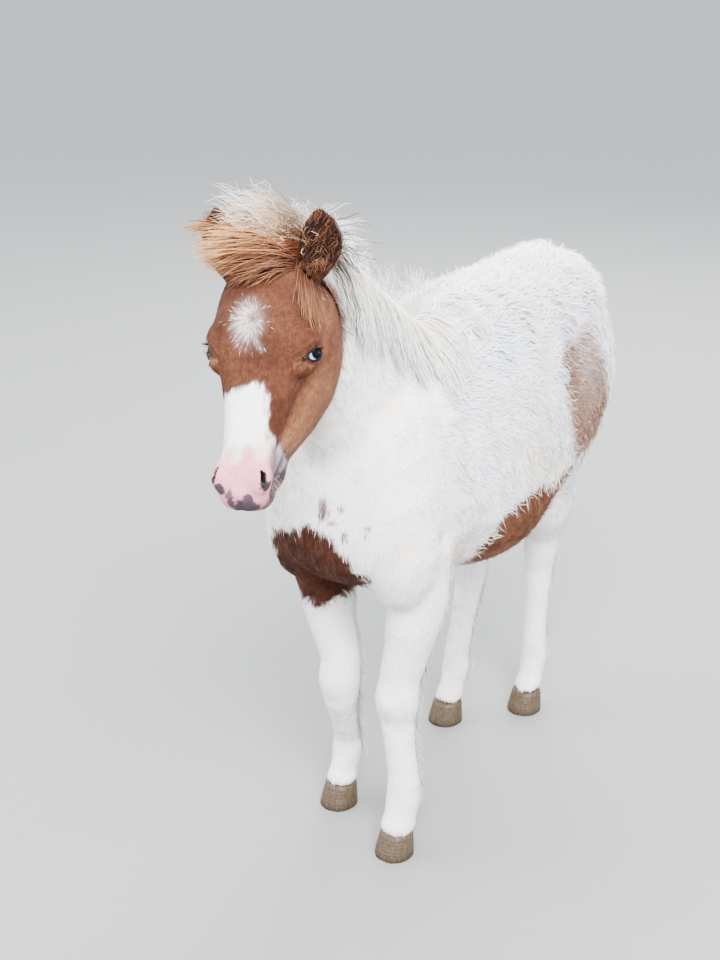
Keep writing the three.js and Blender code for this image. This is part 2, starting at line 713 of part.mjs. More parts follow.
// The legs part from the trunk at the elbow and the stifle, and again under the knee and the hock.
const down = at(0, 0, -1);
const stifleSlope = at(0, 0.3, -1);
const legCuts = {
  left_fore: { upper: "forearm", top: at(84, 92, 342), slope: down, long: 240, low: 192 },
  right_fore: { upper: "forearm", top: at(-84, 92, 342), slope: down, long: 240, low: 192 },
  left_hind: { upper: "gaskin", top: at(84, 470, 364), slope: stifleSlope, long: 440, low: 226 },
  right_hind: { upper: "gaskin", top: at(-84, 440, 352), slope: stifleSlope, long: 440, low: 226 },
};
Object.entries(legCuts).forEach(([name, cut]) => {
  let limb;
  [limb, body] = part(body, cut.top, cut.slope, forward, [166, cut.long, 420]);
  const foot = legs[name].rows.at(-1);
  const whole = [300, 400, 300];
  const [lower, upper] = part(limb, at(foot[0], foot[1], cut.low), down, forward, whole);
  const [, cannon] = part(lower, at(foot[0], foot[1], hoofHeight), down, forward, whole);
  keep(`${name}_${cut.upper}`, upper, "whiteCoat");
  keep(`${name}_cannon`, cannon, "whiteCoat");
  keep(`${name}_hoof`, hoof(at(foot[0], foot[1] + 4, 0)), "horn");
});

// The neck parts from the trunk along the shoulders, and closes round the back of the head.
const [neckFlesh, torso] = part(body, at(0, 60, 655), at(0, -0.6, 0.8), up, [300, 330, 420]);
keep("torso", torso, "whiteCoat");
keep("neck", neckFlesh, "whiteCoat");

let head = headFlesh();
sideNames.forEach(([, side]) => {
  head = head.subtract(lidOpening(side)).subtract(eyeBall(side, eyeRadius + gap)).subtract(nostril(side));
});
keep("head", head.subtract(mouthLine()), "chestnutCoat");
sideNames.forEach(([name, side]) => {
  keep(`${name}_eye`, eyeBall(side, eyeRadius), "eye");
  keep(`${name}_ear`, ear(side).subtract(clear), "chestnutCoat");
});

const earRoom = joinAll(sideNames.map(([, side]) => {
  return earForm(side, -1, 0).solid({ sides: 12, steps: 1, ends: [0, 4] });
}));
const drape = makeDrape(clear);
const maneHair = largest(joinAll([maneRidge(), ...maneLocks(drape)]).subtract(clear).subtract(earRoom));
keep("mane", maneHair, "creamHair");
keep("forelock", forelockHair(drape).subtract(clear).subtract(earRoom).subtract(maneHair), "tanHair");
keep("tail", tailHair().subtract(clear), "creamHair");

const pony = new THREE.Group();
pony.add(...meshes);

// The middle of the whole model's outline, in plan, is the origin.
const box = new THREE.Box3().setFromObject(pony);
const middle = box.getCenter(at(0, 0, 0));
pony.position.set(-middle.x, -middle.y, 0);
export default pony;
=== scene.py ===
import math

import bpy
import numpy as np
from mathutils import Matrix, Vector
from mathutils.bvhtree import BVHTree
from mathutils.kdtree import KDTree


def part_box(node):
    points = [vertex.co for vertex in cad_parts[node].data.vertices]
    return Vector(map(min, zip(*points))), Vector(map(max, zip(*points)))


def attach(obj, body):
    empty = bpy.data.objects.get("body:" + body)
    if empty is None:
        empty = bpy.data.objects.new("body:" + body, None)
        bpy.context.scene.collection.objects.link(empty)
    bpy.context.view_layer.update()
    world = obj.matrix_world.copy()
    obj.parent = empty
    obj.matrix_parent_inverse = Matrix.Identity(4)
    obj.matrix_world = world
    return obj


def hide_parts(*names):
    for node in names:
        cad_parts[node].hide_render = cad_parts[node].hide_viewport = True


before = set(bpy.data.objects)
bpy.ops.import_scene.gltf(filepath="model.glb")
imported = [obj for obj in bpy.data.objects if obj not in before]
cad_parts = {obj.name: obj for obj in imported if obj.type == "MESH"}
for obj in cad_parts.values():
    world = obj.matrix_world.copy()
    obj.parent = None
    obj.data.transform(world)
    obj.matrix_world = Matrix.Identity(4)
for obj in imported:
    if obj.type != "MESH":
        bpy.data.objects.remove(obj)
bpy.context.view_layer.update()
mm = 0.001


def report(words):
    print("stage:", words)


# Small helpers for selecting, adding and finishing pieces

def selectOnly(*pieces):
    bpy.ops.object.select_all(action="DESELECT")
    for piece in pieces:
        piece.select_set(True)
    bpy.context.view_layer.objects.active = pieces[0]


def pointsOf(piece):
    points = np.empty(len(piece.data.vertices) * 3, np.float32)
    piece.data.vertices.foreach_get("co", points)
    return points.reshape(-1, 3).astype(float)


def normalsOf(piece):
    normals = np.empty(len(piece.data.vertices) * 3, np.float32)
    piece.data.vertices.foreach_get("normal", normals)
    return normals.reshape(-1, 3).astype(float)


def movePoints(piece, points):
    piece.data.vertices.foreach_set("co", points.astype(np.float32).ravel())
    piece.data.update()


def applyModifier(piece, kind, **settings):
    selectOnly(piece)
    modifier = piece.modifiers.new(kind.lower(), kind)
    for name, value in settings.items():
        setattr(modifier, name, value)
    bpy.ops.object.modifier_apply(modifier=modifier.name)


def joinedCopy(name, nodes, extras=()):
    copies = list(extras)
    for node in nodes:
        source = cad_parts[node]
        copy = bpy.data.objects.new(name, source.data.copy())
        bpy.context.scene.collection.objects.link(copy)
        copies.append(copy)
    selectOnly(*copies)
    if len(copies) > 1:
        bpy.ops.object.join()
    piece = bpy.context.view_layer.objects.active
    piece.name = name
    bpy.ops.object.transform_apply(location=True, rotation=True, scale=True)
    piece.data.materials.clear()
    bpy.ops.object.mode_set(mode="EDIT")
    bpy.ops.mesh.select_all(action="SELECT")
    bpy.ops.mesh.remove_doubles(threshold=0.00001)
    bpy.ops.object.mode_set(mode="OBJECT")
    return piece


def unit(vectors):
    return vectors / np.maximum(np.linalg.norm(vectors, axis=-1, keepdims=True), 1e-9)


def smoothStep(low, high, values):
    share = np.clip((values - low) / (high - low), 0, 1)
    return share * share * (3 - 2 * share)


def bell(values, middle, width):
    return np.exp(-((values - middle) / width) ** 2)


# The product of soft steps: each has its axis, where it starts and where it is full.
def inRanges(places, *ranges):
    share = np.ones(len(places))
    for axis, start, full in ranges:
        share = share * smoothStep(start, full, places[:, axis])
    return share


# Materials

def toLinear(colour):
    channels = [int(colour[i:i + 2], 16) / 255 for i in (1, 3, 5)]
    return tuple(c / 12.92 if c <= 0.04045 else ((c + 0.055) / 1.055) ** 2.4 for c in channels) + (1,)


# Adds a node. Its inputs, by name or number, are linked to sockets or set to values. A ramp takes its stops.
def addNode(tree, kind, inputs=None, stops=(), **settings):
    node = tree.nodes.new(kind)
    for name, value in settings.items():
        if name in node.inputs:
            node.inputs[name].default_value = value
        else:
            setattr(node, name, value)
    for name, value in (inputs or {}).items():
        if isinstance(value, bpy.types.NodeSocket):
            tree.links.new(value, node.inputs[name])
        else:
            node.inputs[name].default_value = value
    if stops:
        elements = node.color_ramp.elements
        for element, (place, tint) in zip((elements[0], elements[1]), (stops[0], stops[-1])):
            element.position, element.color = place, toLinear(tint)
        for place, tint in stops[1:-1]:
            elements.new(place).color = toLinear(tint)
    return node


def newMaterial(name):
    material = bpy.data.materials.new(name)
    material.use_nodes = True
    material.node_tree.nodes.clear()
    return material, material.node_tree


# Places on the animal: a head frame worked out from its eyes, and a body frame in mm

headForm = {"length": 283 * mm, "turn": 24, "drop": 57, "tilt": 4.5}
eyePlace = {"u": 0.4071, "w": -0.1206, "radius": 15 * mm}      # the middle between the eyeballs


def boxCentre(node):
    low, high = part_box(node)
    return (low + high) / 2


def makeHeadFrame():
    turn, drop, tilt = (math.radians(headForm[key]) for key in ("turn", "drop", "tilt"))
    along = Vector((math.sin(turn) * math.cos(drop), -math.cos(turn) * math.cos(drop), -math.sin(drop)))
    left = Matrix.Rotation(tilt, 3, along) @ Vector((math.cos(turn), math.sin(turn), 0))
    front = along.cross(left).normalized()
    middle = (boxCentre("left_eye") + boxCentre("right_eye")) / 2
    poll = middle - headForm["length"] * (eyePlace["u"] * along + eyePlace["w"] * front)
    return poll, np.array([along, left, front])


poll, headAxes = makeHeadFrame()
bodyStart = poll.y + 132 * mm          # the points of the shoulder, along Y


def toHead(points):
    return (points - np.array(poll)) @ headAxes.T / headForm["length"]


def fromHead(places):
    return np.array(poll) + np.asarray(places, float) * headForm["length"] @ headAxes


def toBody(points):
    return points / mm - np.array([0, bodyStart / mm, 0])


def fromBody(places):
    return (np.asarray(places, float) + np.array([0, bodyStart / mm, 0])) * mm


# The camera stands where the photo was taken from

view = {"place": (996.1, -1284.5, 1194.2), "down": 22.0, "round": 36.6, "lens": 52.5,
        "sensor": 36, "clip": (0.05, 50)}


def makeCamera():
    data = bpy.data.cameras.new("photo_camera")
    camera = bpy.data.objects.new("photo_camera", data)
    bpy.context.scene.collection.objects.link(camera)
    camera.location = fromBody(view["place"])
    camera.rotation_euler = (math.radians(90 - view["down"]), 0, math.radians(view["round"]))
    data.lens, data.sensor_width = view["lens"], view["sensor"]
    data.clip_start, data.clip_end = view["clip"]
    bpy.context.scene.camera = camera


makeCamera()

# The skin: the flesh nodes as one closed surface, under the coat's depth

legNames = [f"{side}_{end}" for side in ("left", "right") for end in ("fore", "hind")]
upperNames = {"fore": "forearm", "hind": "gaskin"}
bodyNodes = ["torso", "neck"]
bodyNodes += [f"{leg}_{upperNames[leg.split('_')[1]]}" for leg in legNames]
bodyNodes += [f"{leg}_cannon" for leg in legNames]
skinForm = {"bodyGrain": 6.2 * mm, "headGrain": 2.55 * mm, "earGrain": 1.3 * mm, "bodyRounds": 10,
            "headRounds": 15, "earRounds": 5, "neckSeamRounds": 150, "earSeamRounds": 12, "fineRounds": 6,
            "headDepth": 1.2 * mm, "neckEndDepth": 1.0 * mm, "bodyDepth": 8.0}
# How much less deep the skin lies under the solids on each part, in mm, with the part's ranges
thinnerParts = {
    "legs": (9.5, (2, 420, 320)),                       # smoothing thins them too
    "loin and croup": (5.0, (2, 640, 700), (1, 160, 300)),
    "breast": (3.5, (1, 110, 10), (2, 620, 520)),
    "thighs": (4.0, (1, 380, 450), (2, 650, 560), (2, 360, 440)),
}
sides = {"left": 1, "right": -1}


def roundedPiece(piece, grain, rounds):
    applyModifier(piece, "REMESH", mode="VOXEL", voxel_size=grain, adaptivity=0)
    applyModifier(piece, "SMOOTH", factor=0.5, iterations=rounds)
    return piece


def coatDepth(points):
    places = toBody(points)
    depth = np.full(len(points), skinForm["bodyDepth"])
    for less, *ranges in thinnerParts.values():
        depth = depth - less * inRanges(places, *ranges)
    return depth * mm


def treeOf(*pieces):
    points, faces = [], []
    for piece in pieces:
        faces += [[i + len(points) for i in p.vertices] for p in piece.data.polygons]
        points += [v.co for v in piece.data.vertices]
    return BVHTree.FromPolygons(points, faces)


def distancesTo(tree, places):
    return np.array([tree.find_nearest(Vector(place))[3] for place in places])


headTree = treeOf(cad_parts["head"])
earTree = treeOf(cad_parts["left_ear"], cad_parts["right_ear"])
neckTree = treeOf(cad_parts["neck"])


# The share of each place that belongs to the head and ears: near their solids, and nearer than to the neck's
def headShare(places):
    away = np.minimum(distancesTo(headTree, places), distancesTo(earTree, places))
    nearer = smoothStep(-2 * mm, 0.5 * mm, distancesTo(neckTree, places) - away)
    return smoothStep(7 * mm, 4 * mm, away) * nearer


def headWay(way, side=1):
    u, v, w = way
    return unit(np.array([u, side * v, w]) @ headAxes)


# Each nostril opens in a bulge of the muzzle, as a comma that widens downwards
nostrilForm = {"bulge": (0.9, 0.066, -0.066), "bulgeSize": (0.056, 0.06, 0.046), "depth": 12, "wing": 1.0,
               "line": [(0.868, 0.072, -0.02), (0.882, 0.09, -0.024), (0.9, 0.1, -0.03),
                        (0.918, 0.1, -0.034), (0.933, 0.092, -0.044)],
               "width": (0.4, 1.7, 2.8, 2.9, 1.0), "inwards": (-0.5, -0.5, -0.6)}


def nostrilBulge(side):
    bpy.ops.object.select_all(action="DESELECT")
    bpy.ops.mesh.primitive_uv_sphere_add(segments=32, ring_count=16, radius=1)
    ball = bpy.context.object
    u, v, w = nostrilForm["bulge"]
    places = pointsOf(ball) * np.array(nostrilForm["bulgeSize"]) + np.array([u, side * v, w])
    movePoints(ball, fromHead(places))
    return ball


# The ears, with their roots let into the head
earForm = {"root": (0.075, 0.185, -0.075), "lean": (-0.78, 0.12, 0.5), "faces": (0.35, 0.42, 0.8),
           "length": 66 * mm, "sink": 7 * mm, "wider": 0.2, "outwards": 5 * mm, "reach": 26 * mm,
           "coatReach": 78 * mm}


# Where an ear is rooted, and the ways in which it leans and faces.
def earAxes(side):
    u, v, w = earForm["root"]
    return fromHead((u, side * v, w)), headWay(earForm["lean"], side), headWay(earForm["faces"], side)


def makeEar(name, side):
    ear = joinedCopy(f"{name}_ear_skin", [f"{name}_ear"])
    points = pointsOf(ear)
    near = smoothStep(4 * mm, 1 * mm, distancesTo(headTree, points))
    root, lean, faces = earAxes(side)
    points = points - lean * (near * earForm["sink"])[:, None]
    fromRoot = points - root
    along = np.clip(fromRoot @ lean / earForm["length"], 0, 1.2)
    across = unit(np.cross(lean, faces))
    wider = (fromRoot @ across) * earForm["wider"] * smoothStep(0.05, 0.4, along)
    points = points + across * wider[:, None]
    points = points + headAxes[1] * side * (earForm["outwards"] * along ** 2)[:, None]
    movePoints(ear, points)
    return roundedPiece(ear, skinForm["earGrain"], skinForm["earRounds"])


def makeSkin():
    body = roundedPiece(joinedCopy("body_skin", bodyNodes), skinForm["bodyGrain"], skinForm["bodyRounds"])
    points = pointsOf(body)
    nearHead = smoothStep(30 * mm, 6 * mm, distancesTo(headTree, points))
    depth = coatDepth(points) * (1 - nearHead) + skinForm["neckEndDepth"] * nearHead
    movePoints(body, points - normalsOf(body) * depth[:, None])
    bulges = [nostrilBulge(side) for side in sides.values()]
    head = joinedCopy("head_skin", ["head", "left_eye", "right_eye"], bulges)
    roundedPiece(head, skinForm["headGrain"], skinForm["headRounds"])
    movePoints(head, pointsOf(head) - normalsOf(head) * skinForm["headDepth"])
    for name, side in sides.items():
        ear = makeEar(name, side)
        applyModifier(head, "BOOLEAN", operation="UNION", object=ear, solver="MANIFOLD")
        bpy.data.objects.remove(ear)
    applyModifier(body, "BOOLEAN", operation="UNION", object=head, solver="MANIFOLD")
    bpy.data.objects.remove(head)
    body.data.materials.clear()
    body.name = "skin"
    return body


def splitFaces(piece, chosen):
    selectOnly(piece)
    bpy.ops.object.mode_set(mode="EDIT")
    bpy.ops.mesh.select_mode(type="VERT")
    bpy.ops.mesh.select_all(action="DESELECT")
    bpy.ops.object.mode_set(mode="OBJECT")
    piece.data.vertices.foreach_set("select", chosen.astype(bool))
    bpy.ops.object.mode_set(mode="EDIT")
    bpy.ops.mesh.subdivide(number_cuts=1)
    bpy.ops.object.mode_set(mode="OBJECT")


def smoothWhere(piece, share, rounds):
    group = piece.vertex_groups.new(name="soft")
    for i in np.flatnonzero(share > 0.02):
        group.add([int(i)], float(share[i]), "REPLACE")
    applyModifier(piece, "SMOOTH", factor=0.5, iterations=rounds, vertex_group="soft")
    piece.vertex_groups.clear()


# Rounds the creases where the neck and the ears run into the head.
def smoothSeams(piece):
    points = pointsOf(piece)
    toHeadSolid = distancesTo(headTree, points)
    toNeckSolid = distancesTo(neckTree, points)
    atNeck = smoothStep(24 * mm, 6 * mm, toHeadSolid) * smoothStep(20 * mm, 9 * mm, toNeckSolid)
    smoothWhere(piece, atNeck, skinForm["neckSeamRounds"])
    toEarSolid = distancesTo(earTree, points)
    atEars = smoothStep(9 * mm, 3 * mm, toHeadSolid) * smoothStep(8 * mm, 3 * mm, toEarSolid)
    smoothWhere(piece, atEars, skinForm["earSeamRounds"])


# The eyes look out and forward. The slit between the lids runs down to the inner corner, near the nose.
eyeForm = {"looks": (0.02, 0.8, 0.6), "slit": (0.5, -0.57, 0.65), "pupil": (-0.1, 0.88, 0.44), "radius": 15,
           "upper": 4.1, "lower": 4.7, "outer": 11, "inner": 12.5, "corner": 19.5, "lid": 2.0, "droop": 1.6,
           "steps": 28, "slot": 0.5, "slotEnd": 5, "rim": 0.7}
# Folds in the lids: the side, how far outside the opening, how wide and how high each is, in mm
lidFolds = [("upper", 6.3, 1.2, -1.5), ("upper", 9.5, 2.4, 1.0), ("lower", 6.0, 1.2, -0.7)]


def eyeAxes(side):
    looks, slit = headWay(eyeForm["looks"], side), headWay(eyeForm["slit"], side)
    slit = unit(slit - looks * (slit @ looks))
    return np.array([slit, np.cross(slit, looks) * side, looks])


def eyeCentre(name):
    return np.array(boxCentre(f"{name}_eye"))


# The edge of the opening between the lids, in mm along the slit and up.
def lidOutline():
    upper, lower = [], []
    outer, corner = eyeForm["outer"], eyeForm["corner"]
    for k in range(eyeForm["steps"] + 1):
        along = -outer + (outer + corner) * k / eyeForm["steps"]
        reach = outer if along < 0 else eyeForm["inner"]
        arch = max(0, 1 - (abs(along) / reach) ** 2.3) ** 0.8
        slot = eyeForm["slot"] * float(smoothStep(corner, corner - eyeForm["slotEnd"], along)) * (along > 0)
        middle = -eyeForm["droop"] * (max(0, along) / corner) ** 2
        upper.append((along, middle + eyeForm["upper"] * arch + slot))
        lower.append((along, middle - eyeForm["lower"] * arch - slot))
    return upper + lower[-2:0:-1]


# How far each place lies inside an outline, in the outline's own units, and negative outside.
def insideBy(places, outline):
    corners = np.array(outline, float)
    nearest = np.full(len(places), 1e9)
    within = np.zeros(len(places), bool)
    for start, end in zip(corners, np.roll(corners, -1, axis=0)):
        edge = end - start
        share = np.clip(((places - start) @ edge) / max(edge @ edge, 1e-12), 0, 1)
        nearest = np.minimum(nearest, np.linalg.norm(places - start - share[:, None] * edge, axis=1))
        crosses = (start[1] > places[:, 1]) != (end[1] > places[:, 1])
        rise = (places[:, 1] - start[1]) / np.where(end[1] == start[1], 1e-9, end[1] - start[1])
        within ^= crosses & (places[:, 0] < start[0] + rise * edge[0])
    return np.where(within, nearest, -nearest)


# Places in an eye's own frame, in mm, and how far inside the opening they lie.
def inEye(name, points):
    places = (points - eyeCentre(name)) / mm @ eyeAxes(sides[name]).T
    away = np.linalg.norm(places, axis=1)
    near = (away < 45) & (places[:, 2] > 0)
    inside = np.full(len(points), -99.0)
    inside[near] = insideBy(places[near, :2], lidOutline())
    return places, away, inside


# Lids: a rim that lies on the eyeball, a fold over the upper one, and the long inner corner.
def shapeLids(points):
    radius = eyeForm["radius"]
    for name in sides:
        places, away, inside = inEye(name, points)
        out = -inside
        ends = smoothStep(17, 11, np.abs(places[:, 0]))
        lids = {lid: smoothStep(0, up, places[:, 1]) * ends for lid, up in (("upper", 3), ("lower", -3))}
        rim = radius + eyeForm["lid"] + eyeForm["rim"] * bell(out, 2.6, 1.8) * lids["upper"]
        share = smoothStep(12, 4.5, out)
        target = away * (1 - share) + np.clip(rim, away - 3.5, away + 3) * share
        for lid, apart, width, rise in lidFolds:
            target = target + rise * lids[lid] * bell(out, apart, width)
        inner = np.where(places[:, 0] > eyeForm["inner"] - 1, away - 1.8, radius - 4)
        hole = smoothStep(-0.1, 0.8, inside)
        target = target * (1 - hole) + inner * hole
        target = np.where(out > 12, away, target)
        points = eyeCentre(name) + (points - eyeCentre(name)) * (target / np.maximum(away, 1e-6))[:, None]
    return points


# How far each place lies from a line of stops, in mm, less the line's own half-width there.
def besideLine(places, stops, widths):
    found = np.full(len(places), 1e9)
    for (start, end), (first, last) in zip(zip(stops, stops[1:]), zip(widths, widths[1:])):
        edge = end - start
        share = np.clip(((places - start) @ edge) / (edge @ edge), 0, 1)
        away = np.linalg.norm(places - start - share[:, None] * edge, axis=1) / mm
        found = np.minimum(found, away - (first + (last - first) * share))
    return found


def besideNostril(points, side):
    stops = [fromHead((u, side * v, w)) for u, v, w in nostrilForm["line"]]
    return besideLine(points, stops, nostrilForm["width"])


def shapeNostrils(points, normals):
    for side in sides.values():
        away = besideNostril(points, side)
        wing = nostrilForm["wing"] * bell(away, 2.4, 2.0)
        hole = nostrilForm["depth"] * smoothStep(0.7, -1.8, away)
        inwards = headWay(nostrilForm["inwards"], side)
        points = points + (normals * wing[:, None] + inwards * hole[:, None]) * mm
    return points


# The mouth: a groove round the front of the muzzle, between two full lips
mouthForm = {"height": -0.185, "corner": 0.77, "depth": 3.4, "half": 1.5, "lips": 1.2, "longer": 4.5}


def besideMouth(places):
    line = mouthForm["height"] - 0.02 * smoothStep(0.9, mouthForm["corner"], places[:, 0])
    return (places[:, 2] - line) * headForm["length"] / mm


def shapeMouth(points, normals):
    places = toHead(points)
    further = mouthForm["longer"] * smoothStep(0.84, 0.97, places[:, 0]) * headShare(points)
    points = points + headAxes[0] * further[:, None] * mm
    away = besideMouth(places)
    there = smoothStep(mouthForm["corner"] - 0.02, mouthForm["corner"] + 0.03, places[:, 0])
    groove = -mouthForm["depth"] * bell(away, 0, mouthForm["half"])
    lips = mouthForm["lips"] * (bell(away, 4, 2.4) + bell(away, -4, 2.4))
    return points + normals * ((groove + lips) * there)[:, None] * mm


# Soft forms of bone and muscle: place, reach along each axis and rise. One off the middle is on both sides.
headForms = [
    ((0.345, 0.165, -0.01), (0.05, 0.05, 0.05), 2.4),       # brow
    ((0.275, 0.165, -0.02), (0.035, 0.04, 0.05), -2.6),     # hollow above the eye
    ((0.47, 0.2, -0.14), (0.05, 0.05, 0.03), 1.4),          # cheek bone, from the eye down the face
    ((0.56, 0.165, -0.135), (0.05, 0.05, 0.02), 1.8),
    ((0.65, 0.135, -0.13), (0.05, 0.05, 0.018), 1.5),
    ((0.5, 0.12, -0.02), (0.06, 0.045, 0.05), -1.8),        # hollow between eye and nose
    ((0.62, 0.11, -0.06), (0.07, 0.04, 0.03), -1.6),
    ((0.6, 0.17, -0.21), (0.08, 0.05, 0.04), -1.8),         # hollow below the cheek bone
    ((0.32, 0.23, -0.36), (0.13, 0.08, 0.1), 2.0),          # round of the jaw
    ((0.83, 0.1, -0.03), (0.03, 0.03, 0.03), -1.8),         # behind the nostril
    ((0.7, 0, 0.0), (0.12, 0.03, 0.04), 1.0),               # bridge of the nose
    ((0.86, 0, -0.01), (0.04, 0.035, 0.04), -1.2),          # dip between the nostrils
    ((0.99, 0, -0.09), (0.03, 0.012, 0.05), -1.2),          # groove of the upper lip
    ((0.97, 0.05, -0.12), (0.035, 0.035, 0.045), 2.6),      # upper lip
    ((1.0, 0, -0.11), (0.03, 0.08, 0.05), 3.0),
    ((0.93, 0, -0.26), (0.05, 0.06, 0.04), 2.8),            # chin
    ((0.87, 0.095, -0.24), (0.06, 0.04, 0.045), 5.0),       # side of the lower lip
    ((0.9, 0.06, -0.29), (0.08, 0.06, 0.06), 3.5),
]


def raised(places, forms, acrossAxis):
    total = np.zeros(len(places))
    for centre, reach, rise in forms:
        for side in ((1, -1) if centre[acrossAxis] else (1,)):
            there = np.array(centre, float)
            there[acrossAxis] *= side
            away = (places - there) / np.array(reach)
            total += rise * np.exp(-np.einsum("nd,nd->n", away, away))
    return total


# The legs' joints, in mm, and forms round them: tendons, the knee and hock bones, the fetlocks
legJoints = {
    "left_fore": ((66, 52, 220), (84, 42, 78)),
    "right_fore": ((-32, 54, 220), (-49, 91, 78)),
    "left_hind": ((23, 503, 262), (33, 481, 83)),
    "right_hind": ((-37, 392, 262), (-49, 378, 83)),
}
kneeForms = [((0, 0, 14), (16, 20, 12), 1.8), ((0, 24, 12), (10, 12, 12), 2.6),
             ((17, 8, -4), (8, 12, 14), 1.2), ((16, 12, -62), (7, 6, 44), -2.0),
             ((0, -22, -26), (14, 10, 10), -1.2), ((0, 0, 0), (30, 30, 22), 1.8)]
hockForms = [((0, 34, 20), (11, 12, 14), 3.4), ((20, 20, 52), (10, 12, 34), -4.0),
             ((0, -20, 4), (16, 12, 14), 1.2), ((20, 4, -4), (9, 14, 16), 1.4),
             ((15, 12, -76), (7, 6, 46), -2.0)]
fetlockForms = [((0, 20, -2), (12, 10, 12), 2.4), ((16, 2, 2), (8, 12, 12), 1.3),
                ((0, -6, -26), (22, 22, 9), -1.0), ((0, -4, -40), (30, 30, 14), 1.6)]
bodyForms = [
    ((0, 4, 500), (13, 40, 60), -5.0),          # groove between the breast muscles
    ((0, 30, 610), (14, 40, 50), -3.0),
    ((104, 60, 520), (26, 30, 50), 3.5),        # point of the shoulder
    ((112, 150, 560), (20, 22, 80), -3.5),      # behind the shoulder
    ((98, 130, 455), (22, 26, 30), 3.5),        # elbow
    ((96, 176, 430), (26, 20, 34), -4.0),       # behind the elbow
    ((110, 366, 470), (26, 36, 40), -6.0),      # flank, before the stifle
    ((112, 392, 640), (26, 40, 34), -3.0),      # hollow of the loin, before the hip
    ((100, 420, 690), (24, 26, 20), 3.0),       # point of the hip
    ((90, 560, 500), (44, 46, 70), 6.0),        # back of the thigh
    ((-20, 290, 735), (80, 110, 45), 10.0),     # loin
]


def shapeBody(points, normals, onHead):
    places = toBody(points)
    total = raised(places, bodyForms, 0)
    for name, (joint, fetlock) in legJoints.items():
        forms = kneeForms if name.endswith("fore") else hockForms
        total += raised(places - np.array(joint), forms, 0)
        total += raised(places - np.array(fetlock), fetlockForms, 0)
    return points + normals * (total * (1 - onHead))[:, None] * mm


def fromEyes(points):
    return np.min([np.linalg.norm(points - eyeCentre(name), axis=1) for name in sides], axis=0)


def makeFineParts(piece):
    points = pointsOf(piece)
    splitFaces(piece, (toHead(points)[:, 0] > 0.84) & (headShare(points) > 0.5))
    for reach in (25, 20):
        splitFaces(piece, fromEyes(pointsOf(piece)) < reach * mm)
    points = pointsOf(piece)
    muzzle = smoothStep(0.83, 0.86, toHead(points)[:, 0]) * headShare(points)
    atEyes = smoothStep(26 * mm, 21 * mm, fromEyes(points))
    smoothWhere(piece, np.maximum(atEyes, muzzle), skinForm["fineRounds"])


skin = makeSkin()
smoothSeams(skin)
makeFineParts(skin)
report(f"skin of {len(skin.data.polygons)} faces")

skinHead = headShare(pointsOf(skin))
movePoints(skin, shapeBody(pointsOf(skin), normalsOf(skin), skinHead))
rises = raised(toHead(pointsOf(skin)), headForms, 1) * skinHead
movePoints(skin, pointsOf(skin) + normalsOf(skin) * rises[:, None] * mm)
smoothPlaces = pointsOf(skin)          # before the mouth and the nostrils are pushed in
movePoints(skin, shapeMouth(pointsOf(skin), normalsOf(skin)))
movePoints(skin, shapeNostrils(pointsOf(skin), normalsOf(skin)))
movePoints(skin, shapeLids(pointsOf(skin)))
selectOnly(skin)
bpy.ops.object.shade_smooth()
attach(skin, "root")
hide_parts("head", "neck", "torso", "left_ear", "right_ear", *bodyNodes[2:])
report("head, lids and legs shaped")

# Markings: how chestnut, pink or grey the coat is, worked out from the place on the animal

def waves(places, size, seed):
    draw = np.random.default_rng(seed)
    total = np.zeros(len(places))
    for _ in range(9):
        way = draw.normal(size=3)
        way *= draw.uniform(0.6, 1.7) * 2 * math.pi / size / np.linalg.norm(way)
        total += np.sin(places @ way + draw.uniform(0, 6.3))
    return total / 3


# Outlines of the patches as seen from one side, in mm, and how softly each ends
bodyPatches = {
    "breast": {"seen": "front", "soft": 5, "outline": [
        (-96, 436), (-84, 458), (-53, 467), (-10, 488), (19, 480), (41, 458), (62, 428), (50, 396), (20, 372),
        (-20, 345), (-50, 330), (-84, 336), (-100, 362), (-92, 400)]},
    "flank": {"seen": "left", "soft": 6, "outline": [
        (196, 398), (224, 440), (262, 455), (310, 459), (366, 436), (384, 408), (372, 376), (330, 348),
        (280, 322), (230, 322), (205, 352)]},
    "flankLine": {"seen": "left", "soft": 10, "outline": [
        (366, 432), (400, 452), (440, 462), (470, 490), (468, 470), (438, 446), (384, 408)]},
    "thigh": {"seen": "left", "soft": 18, "outline": [
        (430, 655), (468, 648), (515, 590), (545, 535), (540, 480), (484, 446), (424, 452), (396, 523),
        (380, 578), (387, 628), (405, 648)]},
    "rightFlank": {"seen": "right", "soft": 8, "outline": [
        (270, 560), (330, 600), (400, 590), (440, 520), (410, 450), (340, 420), (280, 450), (250, 500)]},
    "rightShoulder": {"seen": "right", "soft": 8, "outline": [
        (70, 550), (110, 590), (150, 540), (140, 470), (96, 440), (64, 480)]},
}
# Small spots on the breast: place across and up, and reach in both
bodySpots = [(13, 516, 8, 16), (38, 520, 5, 5), (45, 485, 5, 6), (29, 501, 4, 4), (64, 424, 6, 8),
             (73, 497, 4, 4)]
blaze = [(0.545, 0.06), (0.56, 0.02), (0.585, -0.06), (0.6, -0.125), (0.64, -0.13), (0.7, -0.125),
         (0.78, -0.16), (0.8, -0.3), (1.3, -0.3), (1.3, 0.3), (0.93, 0.3), (0.84, 0.16), (0.787, 0.108),
         (0.69, 0.084), (0.6, 0.078)]
star = {"centre": (0.328, -0.026), "reach": (0.074, 0.054), "whorl": (0.314, -0.006),
        "trail": ((0.38, 0.0), (0.44, 0.05)), "trailDepth": 0.42, "trailWidth": 0.014, "depth": 0.85}
markForm = {"spotDepth": 0.8, "roan": (0.12, 0.22), "lipPink": 0.5, "noseSideShade": 0.66, "tone": 0.43,
            "lidTone": 0.2, "creaseTone": 0.3, "underEyeTone": 0.16, "earTone": 0.8}
